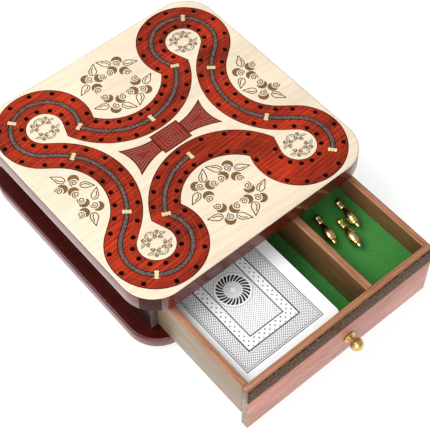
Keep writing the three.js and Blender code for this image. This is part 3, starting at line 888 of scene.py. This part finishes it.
# One quarter of each motif, in shares of the board: a leaf's base and tip; a rose's middle,
# radius and the way it faces
WREATH_LEAVES = [((-0.0412, 0.0875), (-0.0055, 0.1315)), ((-0.079, 0.0624), (-0.128, 0.039))]
WREATH_ROSES = [((-0.0695, 0.0895), 0.0198, 5.53), ((-0.0284, 0.0629), 0.0195, 6.1),
                ((-0.0623, 0.0327), 0.0195, 4.44)]
SIDE_LEAVES = [((-0.398, 0.082), (-0.423, 0.131)), ((-0.364, 0.040), (-0.327, 0.005))]
SIDE_ROSES = [((-0.4215, 0.0625), 0.0195, 3.12), ((-0.3688, 0.0715), 0.0198, 4.15),
              ((-0.3982, 0.029), 0.0195, 4.62)]
WREATH_Y = 0.311
MEDALLION_XY = 0.3135
MEDALLION_SIZE = 0.4
MEDALLION_LINE = 0.55
ENGRAVED = (VENEER_TOP - 0.05, FACE_TOP)


def motif(leaves, roses, size, centre):
    """The lines and shaded petals of one cluster, in the face's quarter with x < 0 and y > 0."""
    lines, shades = [], []
    for parts, pieces in ((leaf_parts, leaves), (rose_parts, roses)):
        for piece in pieces:
            more, shade = parts(*piece)
            lines += more
            shades += shade
    grow = lambda path: [centre + point * BOARD * size for point in path]
    return [(grow(path), closed) for path, closed in lines], [grow(path) for path in shades]


def engraved_flowers(width):
    """Two wreaths, two side sprays and four small wreaths in the medallions: lines, and petals."""
    z0, z1 = ENGRAVED
    strokes, petals = [], []

    def lay(leaves, roses, about, size=1.0, line=1.0):
        about = Vector(about)
        lines, shades = motif(leaves, roses, size, about)
        for signs in QUARTERS:
            for path, closed in lines:
                strokes.append(stroke(mirrored(path, *signs, about), width * line, z0, z1, closed))
            for path in shades:
                petals.append(plate([mirrored(path, *signs, about)], z0, z1 - 0.005))

    for side in (1, -1):
        lay(WREATH_LEAVES, WREATH_ROSES, (0, side * WREATH_Y * BOARD))
    for sign_x, sign_y in QUARTERS:
        lay(WREATH_LEAVES, WREATH_ROSES, (sign_x * MEDALLION_XY * BOARD, sign_y * MEDALLION_XY * BOARD),
            MEDALLION_SIZE, MEDALLION_LINE)
    lay(SIDE_LEAVES, SIDE_ROSES, (0, 0))
    return merge(strokes), merge(petals)


def bow_outline(side, shrink=0.0):
    """One wing of the bow-tie: narrow at the block, with a hollow end."""
    tip = Vector((BOW_TIP[0] - shrink, BOW_TIP[1] - shrink * 1.6))
    root, start = BOW_ROOT - shrink, BOW_BLOCK[0] + INLAY_GAP + shrink

    def bend(a, control, b, count=8):
        a, control, b = Vector(a), Vector(control), Vector(b)
        return [a.lerp(control, i / count).lerp(control.lerp(b, i / count), i / count) for i in range(count)]

    low = bend((start, -root), (tip.x * 0.6, -root), (tip.x, -tip.y))
    end = bend((tip.x, -tip.y), (tip.x - BOW_HOLLOW, 0), (tip.x, tip.y))
    high = bend((tip.x, tip.y), (tip.x * 0.6, root), (start, root))
    return [point * side for point in low + end + high + [Vector((start, root))]]


def rectangle(half_x, half_y):
    return [Vector(p) for p in ((-half_x, -half_y), (half_x, -half_y), (half_x, half_y), (-half_x, half_y))]


def rounded_square(half, radius):
    line = []
    for i, (sign_x, sign_y) in enumerate(((1, -1), (1, 1), (-1, 1), (-1, -1))):
        centre = Vector((sign_x, sign_y)) * (half - radius)
        start = -math.pi / 2 + i * math.pi / 2
        line += arc(centre, radius, start, start + math.pi / 2, math.radians(5))
    return without_repeats(line)


# ---------------------------------------------------------------- operators

DRILL_LENGTH = 10.0


def add_drill(bm, radius, sides, length, place):
    bmesh.ops.create_cone(bm, cap_ends=True, segments=sides, radius1=radius, radius2=radius, depth=length,
                          matrix=place)


class CRIBBAGE_OT_case(bpy.types.Operator):
    """Make the base board, the three walls, the top board and the feet"""
    bl_idname = "cribbage.make_case"
    bl_label = "Make Case"

    def execute(self, context):
        settings = context.scene.cribbage_case
        face = context.scene.cribbage_face
        rounding = settings.rim_round / MM
        side_grain = lacquered()
        # The walls' lacquer is darkened to an eighth: painted shadow under the top board's overhang.
        shaded = lacquered("Lacquered mahogany, walls in painted shadow", 0.12, 0.0, 0.1, LENGTHWISE)
        low, high = box_mm("base_board")
        # The base's top face takes the lacquer darkened to about a third: painted shade under the top board's
        # overhang.
        ledge_in_painted_shade = lacquered("Lacquered mahogany, ledge", 0.36, 0.05, 0.1)
        finish_piece("base_slab", rounded_slab(high.x, CORNER_RADIUS, low.z, high.z, rounding),
                     [side_grain, ledge_in_painted_shade], "case", "lacquered_wood", ("base_board",),
                     paint=lambda at, normal: int(normal.z > 0.9))
        # The walls' front ends are grey: end grain with a painted reflection of the pale floor.
        end_grain_painted_reflection = speckled("Wall end grain, painted reflection", linear(58, 48, 44), linear(104, 94, 88), 1500.0, 0.5)
        for name in ("left", "right", "back"):
            finish_piece(f"case_wall_{name}", block(*box_mm(f"wall_{name}"), 0.5),
                         [shaded, end_grain_painted_reflection], "case", "lacquered_wood", (f"wall_{name}",),
                         paint=lambda at, normal: int(normal.y < -0.9 and at.y < 0))
        slab = rounded_slab(HALF, CORNER_RADIUS, CASE_TOP, FACE_TOP, rounding * 0.45)
        recess = rounded_slab(HALF - FACE_RIM, CORNER_RADIUS - FACE_RIM, FACE_BOTTOM - 0.1, FACE_TOP + 1)
        drills = bmesh.new()
        for centre in hole_centres():
            middle = Matrix.Translation((*centre, FACE_TOP - HOLE_DEPTH + DRILL_LENGTH / 2))
            add_drill(drills, HOLE_RADIUS, HOLE_SIDES, DRILL_LENGTH, middle)

        def part_of_slab(at, normal):
            if at.z > FACE_TOP - 1 and normal.z > 0.25:
                return 2
            return int(CASE_TOP + 0.2 < at.z < FACE_BOTTOM - 0.15 and max(abs(at.x), abs(at.y)) < HALF - 2)

        finish_piece("top_slab", slab, [side_grain, scorched("Burnt edge", face.burnt), maple_veneer(face)],
                     "case", "lacquered_wood", ("top_board",), (recess, drills), part_of_slab)
        for corner in ("front_left", "front_right", "back_left", "back_right"):
            low, high = box_mm(f"foot_{corner}")
            middle = (low + high) / 2
            radius, height = (high.x - low.x) / 2, high.z - low.z
            profile = [(0, -height + 0.4), (radius * 0.62, -height + 0.35), (radius * 0.7, -height),
                       (radius * 0.82, -height), (radius * 0.88, -height + 0.35), (radius * 0.99, -0.4),
                       (radius * 0.96, 0), (0, 0)]
            finish_piece(f"rubber_foot_{corner}",
                         spun(profile, 32, Matrix.Translation((middle.x, middle.y, high.z))),
                         [rubber()], "case", "rubber", (f"foot_{corner}",))
        return {"FINISHED"}


VENEER_EDGE = 0.1


class CRIBBAGE_OT_face(bpy.types.Operator):
    """Make the veneers of the playing face: maple, track, stripe, markers and bow-tie"""
    bl_idname = "cribbage.make_face"
    bl_label = "Make Playing Face"

    def execute(self, context):
        face = context.scene.cribbage_face
        burnt = scorched("Burnt edge", face.burnt)
        maple = maple_veneer(face)
        padauk = padauk_veneer("Padauk veneer", face.padauk_light, face.padauk_dark, 0.8, 2.0, 0.1, 0.2)
        bow_wood = padauk_veneer("Padauk veneer, bow-tie", linear(156, 42, 27), linear(104, 22, 14),
                                 0.6, 0.6, 0.15, 0.3)
        side_burnt = lambda at, normal: int(normal.z < 0.99)
        z0, z1 = FACE_BOTTOM, VENEER_TOP
        inset = FACE_RIM + 0.02
        edge = rounded_square(HALF - inset, CORNER_RADIUS - inset)
        border = plate([edge, loop_line(RIBBON_HALF_WIDTH + INLAY_GAP)], z0, z1, VENEER_EDGE)
        rim_bare = lambda at, normal: int(normal.z < 0.99 and max(abs(at.x), abs(at.y)) < HALF - 1.2
                                          and (abs(at.x) + abs(at.y) < 2 * HALF - 14))
        finish_piece("border_veneer", border, [maple, burnt], "case", "maple", ("maple_border",),
                     paint=rim_bare)
        centre = plate([loop_line(-RIBBON_HALF_WIDTH - INLAY_GAP)], z0, z1, VENEER_EDGE)
        openings = [rectangle(*(half + INLAY_GAP for half in BOW_BLOCK)), bow_outline(1, -INLAY_GAP),
                    bow_outline(-1, -INLAY_GAP)]
        cutters = [plate([opening], z0 - 1, z1 + 1) for opening in openings]
        finish_piece("centre_veneer", centre, [maple, burnt], "case", "maple", ("maple_centre",),
                     cutters, side_burnt)

        spots = marker_spots()
        slot = stripe_outline(STRIPE_HALF_WIDTH + INLAY_GAP)
        holes = [[polar(at, HOLE_RADIUS, math.tau * i / HOLE_SIDES) for i in range(HOLE_SIDES)]
                 for at in hole_centres()]
        ribbon = plate([loop_line(RIBBON_HALF_WIDTH), loop_line(-RIBBON_HALF_WIDTH), slot, *holes],
                       z0, z1, 0.13)
        pockets = [merge([plate([marker_outline(at, turn, INLAY_GAP * 0.6)], FACE_TOP - 0.7, z1 + 1)
                          for at, turn in spots]) for _ in range(2)]
        finish_piece("track_veneer", ribbon, [padauk, burnt], "case", "padauk", ("track_ribbon",),
                     pockets[:1], side_burnt)
        dark = speckled("Speckled inlay", linear(48, 34, 32), linear(122, 100, 92), 1900.0, 0.35, coat=0.3)
        finish_piece("stripe_veneer", plate([stripe_outline(STRIPE_HALF_WIDTH)], z0, z1, 0.06),
                     [dark, burnt], "case", "speckled_wood", ("track_stripe",), pockets[1:], side_burnt)
        cream = wood("Cream inlay", linear(238, 214, 168), linear(206, 172, 122), 200.0, 1200.0, 0.3, 0.1,
                     0.35, coat=0.4)
        for number, (at, turn) in enumerate(spots, 1):
            piece = plate([marker_outline(at, turn)], FACE_TOP - 0.6, VENEER_TOP + 0.01, 0.08)
            finish_piece(f"marker_inlay_{number:02d}", piece, [cream, burnt], "case", "cream_inlay",
                         (f"track_marker_{number:02d}",), paint=side_burnt)

        for name, outline in (("bow_block", rectangle(*BOW_BLOCK)), ("bow_wing_right", bow_outline(1)),
                              ("bow_wing_left", bow_outline(-1))):
            finish_piece(f"{name}_inlay", plate([outline], z0, z1, VENEER_EDGE), [bow_wood, burnt], "case",
                         "padauk", (name,), paint=side_burnt)
        return {"FINISHED"}


def stripe_outline(half_width):
    return stripe_line(half_width) + stripe_line(-half_width)[::-1]


# Half sizes of the rings on the bow-tie's block, and how far inside a wing's edge its own lie
BLOCK_RINGS = ((0.5, 0.45), (1.9, 1.6), (3.4, 2.8), (5.1, 4.0), (7.1, 5.3))
WING_RINGS = (1.1, 2.4, 3.7)
# Each ring is a pale line with a burnt one just outside it: how far out, and how wide
BLOCK_LINE, BLOCK_BURN = 0.48, (0.38, 0.22)
WING_LINE, WING_BURN = 0.46, (0.36, 0.2)
SCORE_WIDTH = 0.13


class CRIBBAGE_OT_engraving(bpy.types.Operator):
    """Burn the flowers into the maple, and score the bow-tie and the track"""
    bl_idname = "cribbage.make_engraving"
    bl_label = "Make Engraving"

    def execute(self, context):
        face = context.scene.cribbage_face
        width = face.line_width / MM
        strokes, petals = engraved_flowers(width)
        z0, z1 = ENGRAVED
        pale, deep = [], []
        for half_x, half_y in BLOCK_RINGS:
            beside = rectangle(half_x + BLOCK_BURN[0], half_y + BLOCK_BURN[0])
            pale.append(stroke(rectangle(half_x, half_y), BLOCK_LINE, z0, z1, True))
            deep.append(stroke(beside, BLOCK_BURN[1], z0, z1, True))
        for side in (1, -1):
            for inset in WING_RINGS:
                pale.append(stroke(bow_outline(side, inset), WING_LINE, z0, z1, True))
                deep.append(stroke(bow_outline(side, inset - WING_BURN[0]), WING_BURN[1], z0, z1, True))
        rings = [stroke(loop_line(offset), SCORE_WIDTH, z0, z1 - 0.02, True)
                 for offset in (SCORE_OFFSET, -SCORE_OFFSET)]
        for name, lines, material, colour, slot in (
                ("engraved_lines", strokes, "Engraved line", face.engraving, "speckled_wood"),
                ("engraved_petals", petals, "Engraved petal", face.petal, "speckled_wood"),
                ("scored_track_lines", merge(rings), "Scored padauk", linear(168, 66, 44), "padauk"),
                ("scored_bow_lines", merge(pale), "Scored bow-tie", linear(138, 80, 68), "padauk"),
                ("burnt_bow_lines", merge(deep), "Burnt edge", face.burnt, "speckled_wood")):
            finish_piece(name, lines, [scorched(material, colour)], "case", slot)
        return {"FINISHED"}


KNOB_BORE = 1.3
KNOB_BALL = (3.65, 5.9)


def knob_place():
    """Where the knob's axis meets the drawer's front, pointing out of it."""
    low, high = box_mm("knob")
    face_y = box_mm("drawer_front_panel")[0].y
    return (Matrix.Translation(((low.x + high.x) / 2, face_y, (low.z + high.z) / 2))
            @ Matrix.Rotation(math.pi / 2, 4, "X"))


class CRIBBAGE_OT_drawer(bpy.types.Operator):
    """Make the drawer's boards, its facings and its felt"""
    bl_idname = "cribbage.make_drawer"
    bl_label = "Make Drawer"

    def execute(self, context):
        drawer = context.scene.cribbage_drawer
        rounding = drawer.board_round / MM
        crosswise = drawer_wood(turn=(0, 0, 0))
        lengthwise = drawer_wood("Drawer wood, lengthwise")
        # Outer faces take a paler, greyer wood: the boards' own brown with a painted reflection of the pale
        # floor.
        outside = drawer_wood("Drawer wood, outside, painted reflection", LENGTHWISE, linear(152, 130, 100), linear(112, 90, 66))
        # Inner faces and ends take a darker copy of the wood: painted shade, as the light comes from the
        # other side.
        inside_painted_shade = drawer_wood("Drawer wood, inside, painted shade", LENGTHWISE, linear(118, 82, 52), linear(78, 50, 30))
        for node in ("drawer_side_left", "drawer_side_right", "drawer_back", "drawer_bottom",
                     "drawer_front_rail", "drawer_divider", "peg_bed"):
            low, high = box_mm(node)
            top = crosswise if node in ("drawer_back", "drawer_front_rail") else lengthwise

            def side_of_board(at, normal):
                if max(abs(normal.x), abs(normal.y)) < 0.9:
                    return 0
                # Outer faces of the sides and the back get the painted reflection (1); the other upright
                # faces get the painted shade (2).
                seen = (at.x < low.x + 0.1 and node.endswith("left")
                        or at.x > high.x - 0.1 and node.endswith("right")
                        or node == "drawer_back" and normal.y > 0.9)
                return 1 if seen else 2

            finish_piece(f"{node}_board", block(low, high, rounding), [top, outside, inside_painted_shade], "drawer",
                         "drawer_wood", (node,), paint=side_of_board)
        facing = wood("Facing wood", drawer.facing_light, drawer.facing_dark, 110.0, 900.0, 0.3, 0.8, 0.35,
                      tone=0.7, coat=0.15, specular=0.15)
        # The facing's ends are greyer than its face: end grain with a painted reflection of the pale floor.
        end_grain_painted_reflection = speckled("Facing end grain, painted reflection", linear(118, 104, 90), linear(168, 156, 140), 1500.0, 0.6)
        low, high = box_mm("drawer_front_panel")
        bore = bmesh.new()
        add_drill(bore, KNOB_BORE, 24, 20, knob_place())
        at_end = lambda at, normal: int(abs(normal.x) > 0.9 and abs(at.x) > high.x - 0.1)
        finish_piece("front_facing", block(low, high, rounding), [facing, end_grain_painted_reflection], "drawer", "facing_wood",
                     ("drawer_front_panel",), (bore,), at_end)
        band = speckled("Speckled band", linear(40, 27, 20), linear(112, 82, 58), 1300.0, 0.5, specular=0.08)
        finish_piece("front_band", block(*box_mm("drawer_front_band"), 0.25), [band], "drawer",
                     "speckled_wood", ("drawer_front_band",))
        for node in ("felt_cards", "felt_pegs"):
            finish_piece(f"{node}_sheet", felt_sheet(*box_mm(node)), [felt_cloth(drawer.felt)], "drawer",
                         "felt", (node,))
        return {"FINISHED"}


def felt_sheet(low, high):
    """A glued felt lining: soft edges and a gently uneven top."""
    bm = block(low, high)
    for axis, count in ((0, 30), (1, 60)):
        size = (high - low)[axis]
        normal = Vector((1, 0, 0)) if axis == 0 else Vector((0, 1, 0))
        for i in range(1, count):
            cut = low + normal * (size * i / count)
            bmesh.ops.bisect_plane(bm, geom=bm.verts[:] + bm.edges[:] + bm.faces[:], plane_co=cut,
                                   plane_no=normal)
    for vert in bm.verts:
        if vert.co.z > high.z - 1e-4:
            at = vert.co
            lump = (math.sin(at.x * 0.61 + math.sin(at.y * 0.37) * 2)
                    + math.sin(at.y * 0.83 + at.x * 0.29)) / 4
            edge = min(at.x - low.x, high.x - at.x, at.y - low.y, high.y - at.y)
            vert.co.z += -0.12 + 0.12 * lump - (0.35 if edge < 0.5 else 0)
    return bm


class CRIBBAGE_OT_knob(bpy.types.Operator):
    """Turn the brass knob"""
    bl_idname = "cribbage.make_knob"
    bl_label = "Make Knob"

    def execute(self, context):
        radius, height = KNOB_BALL
        ball = [(radius * math.sin(a), height - radius * math.cos(a))
                for a in (math.radians(27 + 153 * i / 22) for i in range(23))]
        ball[-1] = (0, radius + height)
        profile = [(0, -4), (0.8, -4), (1, -3.8), (1, 0.3), (3.55, 0.3), (3.7, 0.45), (3.7, 0.75),
                   (3.55, 0.95), (3.1, 1.15), (2.9, 1.4), (2.2, 1.55), (1.75, 1.75), (1.62, 2.1),
                   (1.6, 2.4), *ball]
        finish_piece("brass_knob", spun(profile, 48, knob_place()), [brass("Satin brass", 0.3)], "drawer",
                     "brass", ("knob",))
        return {"FINISHED"}


# The printed back's middle is given along X, and by its shift from the card's middle along Y
CARD_PLAY = 0.08
CARD_CORNER = 3
PRINT_X = -28.3
PRINT_SHIFT = 1.0


class CRIBBAGE_OT_cards(bpy.types.Operator):
    """Stack the pack of cards, the top one face down"""
    bl_idname = "cribbage.make_cards"
    bl_label = "Make Cards"

    def execute(self, context):
        loose = context.scene.cribbage_loose
        low, high = box_mm("card_deck")
        pitch = (high.z - low.z) / loose.card_count
        stock = card_stock()
        inset = Vector((CARD_PLAY, CARD_PLAY, 0))
        pack = []
        for number in range(loose.card_count):
            z0 = low.z + number * pitch
            top = number == loose.card_count - 1
            shift = Vector((math.sin(number * 2.4), math.sin(number * 1.7), 0)) * 0.06
            card = block(low + inset, high - inset)
            bevel_uprights(card, CARD_CORNER, 5)
            thickness = pitch * (1.0 if top else 0.97)
            for vert in card.verts:
                vert.co.z = z0 + (thickness if vert.co.z > (low.z + high.z) / 2 else 0)
            bmesh.ops.translate(card, vec=shift, verts=card.verts)
            if not top:
                pack.append(card)
                continue
            middle = Vector((PRINT_X, (low.y + high.y) / 2 + PRINT_SHIFT, 0)) * MM
            finish_piece("top_card", card, [printed_card(loose.ink, middle), stock], "deck", "card",
                         paint=lambda at, normal: int(normal.z < 0.5))
        finish_piece("card_pack", merge(pack), [stock], "deck", "card", ("card_deck",))
        return {"FINISHED"}


PEG_BALL = 2.1
PEG_TILT = 0.9 / 13
# Where each peg's ball lies, and its heading in degrees from straight forwards
PEG_PLACES = {
    "peg_left": ((35.1, -77.9), 12.4),
    "peg_middle": ((42.7, -87.4), 9.2),
    "peg_right": ((50.5, -77.9), 8.4),
}


def peg_profile():
    """Ball, two rings, a bowling-pin body and a short shank, from the ball's centre."""
    ball = [(PEG_BALL * math.sin(a), -PEG_BALL * math.cos(a))
            for a in (math.radians(146 * i / 18) for i in range(19))]
    ball[0] = (0, -PEG_BALL)
    rings = [(1.3, 2.05), (1.95, 2.2), (2.05, 2.4), (2.05, 2.85), (1.92, 3.05), (1.55, 3.2), (1.55, 3.4),
             (1.85, 3.5), (1.97, 3.7), (1.97, 4.05), (1.8, 4.3)]
    body = smooth_curve([(1.5, 4.7), (1.75, 6), (2.6, 8.8), (2.95, 10.9), (3.0, 13.0), (2.72, 15),
                         (1.9, 16.4)], 5)
    tail = [(1.2, 16.85), (1.13, 17.1), (1.1, 18.3), (1.0, 18.7), (0.8, 18.9), (0, 18.9)]
    return ball + rings + [tuple(point) for point in body] + tail


class CRIBBAGE_OT_pegs(bpy.types.Operator):
    """Turn the three brass pegs and lay them on the felt"""
    bl_idname = "cribbage.make_pegs"
    bl_label = "Make Pegs"

    def execute(self, context):
        felt_top = box_mm("felt_pegs")[1].z
        for name, ((x, y), heading) in PEG_PLACES.items():
            yaw = math.radians(heading)
            way = Vector((-math.sin(yaw), -math.cos(yaw), PEG_TILT)).normalized()
            place = (Matrix.Translation((x, y, felt_top + 2.4))
                     @ way.to_track_quat("Z", "Y").to_matrix().to_4x4())
            finish_piece(f"brass_{name}", spun(peg_profile(), 36, place), [brass("Polished brass", 0.22)],
                         name, "brass", (name,))
        return {"FINISHED"}


CAMERA_EYE = (-0.22978, -0.31122, 0.5455)
CAMERA_AIM = (-0.01465, -0.05353, FACE_TOP * MM)
CAMERA_ROLL = math.radians(-0.49)
FLOOR_SIZE = 3000
FLOOR_GREY = 0.4
FLOOR_GLOW = 0.75
# Each light's place, size and share of the key light's power; both look at the origin
LIGHTS = (("key", (-0.5, 0.35, 0.9), 0.7, 1.0), ("fill", (-0.6, -0.7, 0.5), 0.8, 0.5))


def add_aimed(name, data, eye, aim, roll=0.0):
    """Places a light or camera, and turns it to look at a point."""
    thing = bpy.data.objects.new(name, data)
    thing.location = eye
    thing.rotation_mode = "QUATERNION"
    way = (Vector(aim) - Vector(eye)).to_track_quat("-Z", "Y")
    thing.rotation_quaternion = way @ Quaternion((0, 0, 1), roll)
    bpy.context.scene.collection.objects.link(thing)
    return thing


class CRIBBAGE_OT_stage(bpy.types.Operator):
    """Set out the floor, the lights and the camera"""
    bl_idname = "cribbage.make_stage"
    bl_label = "Make Stage"

    def execute(self, context):
        scene = context.scene
        settings = scene.cribbage_stage
        ground = min(CAD_BOX[0][2], box_mm("foot_front_left")[0].z * MM)
        bm = bmesh.new()
        bmesh.ops.create_grid(bm, x_segments=1, y_segments=1, size=FLOOR_SIZE)
        bmesh.ops.translate(bm, vec=(0, 0, ground / MM - 0.05), verts=bm.verts)
        floor = new_object("floor", bm)
        material = bpy.data.materials.new("White sweep")
        material.use_nodes = True
        shader = material.node_tree.nodes["Principled BSDF"]
        for title, value in (("Base Color", (FLOOR_GREY, FLOOR_GREY, FLOOR_GREY, 1)), ("Roughness", 0.9),
                             ("Specular IOR Level", 0.1), ("Emission Color", (1, 1, 1, 1)),
                             ("Emission Strength", FLOOR_GLOW)):
            shader.inputs[title].default_value = value
        floor.data.materials.append(material)

        world = bpy.data.worlds.new("Studio")
        world.use_nodes = True
        sky = world.node_tree.nodes["Background"]
        sky.inputs["Color"].default_value = (1, 1, 1, 1)
        sky.inputs["Strength"].default_value = settings.room_light
        scene.world = world
        for name, at, size, share in LIGHTS:
            data = bpy.data.lights.new(name, "AREA")
            data.size = size
            data.energy = settings.key_power * share
            add_aimed(name, data, at, (0, 0, 0))

        data = bpy.data.cameras.new("camera")
        data.sensor_width = 36
        data.lens = 99.2
        data.clip_start = 0.01
        scene.camera = add_aimed("camera", data, CAMERA_EYE, CAMERA_AIM, CAMERA_ROLL)
        scene.view_settings.view_transform = "Standard"
        return {"FINISHED"}


class CRIBBAGE_PT_panel(bpy.types.Panel):
    """Sizes, colours and pieces of the cribbage board"""
    bl_idname = "CRIBBAGE_PT_panel"
    bl_label = "Cribbage Board"
    bl_space_type = "VIEW_3D"
    bl_region_type = "UI"
    bl_category = "Cribbage"

    def draw(self, context):
        for title, _ in SETTINGS:
            group = getattr(context.scene, title)
            column = self.layout.column(heading=title)
            for name in group.__annotations__:
                column.prop(group, name)
        for operator in OPERATORS:
            self.layout.operator(operator.bl_idname)


SETTINGS = (
    ("cribbage_case", CRIBBAGE_PG_case),
    ("cribbage_face", CRIBBAGE_PG_face),
    ("cribbage_drawer", CRIBBAGE_PG_drawer),
    ("cribbage_loose", CRIBBAGE_PG_loose),
    ("cribbage_stage", CRIBBAGE_PG_stage),
)
OPERATORS = (
    CRIBBAGE_OT_stage, CRIBBAGE_OT_case, CRIBBAGE_OT_face, CRIBBAGE_OT_engraving, CRIBBAGE_OT_drawer,
    CRIBBAGE_OT_knob, CRIBBAGE_OT_cards, CRIBBAGE_OT_pegs,
)


def register():
    for title, group in SETTINGS:
        bpy.utils.register_class(group)
        setattr(bpy.types.Scene, title, bpy.props.PointerProperty(type=group))
    for operator in OPERATORS:
        bpy.utils.register_class(operator)
    bpy.utils.register_class(CRIBBAGE_PT_panel)


def unregister():
    bpy.utils.unregister_class(CRIBBAGE_PT_panel)
    for operator in reversed(OPERATORS):
        bpy.utils.unregister_class(operator)
    for title, group in reversed(SETTINGS):
        delattr(bpy.types.Scene, title)
        bpy.utils.unregister_class(group)


def main():
    register()
    for operator in OPERATORS:
        family, action = operator.bl_idname.split(".")
        getattr(getattr(bpy.ops, family), action)()
    bpy.context.view_layer.update()


if __name__ == "__main__":
    main()
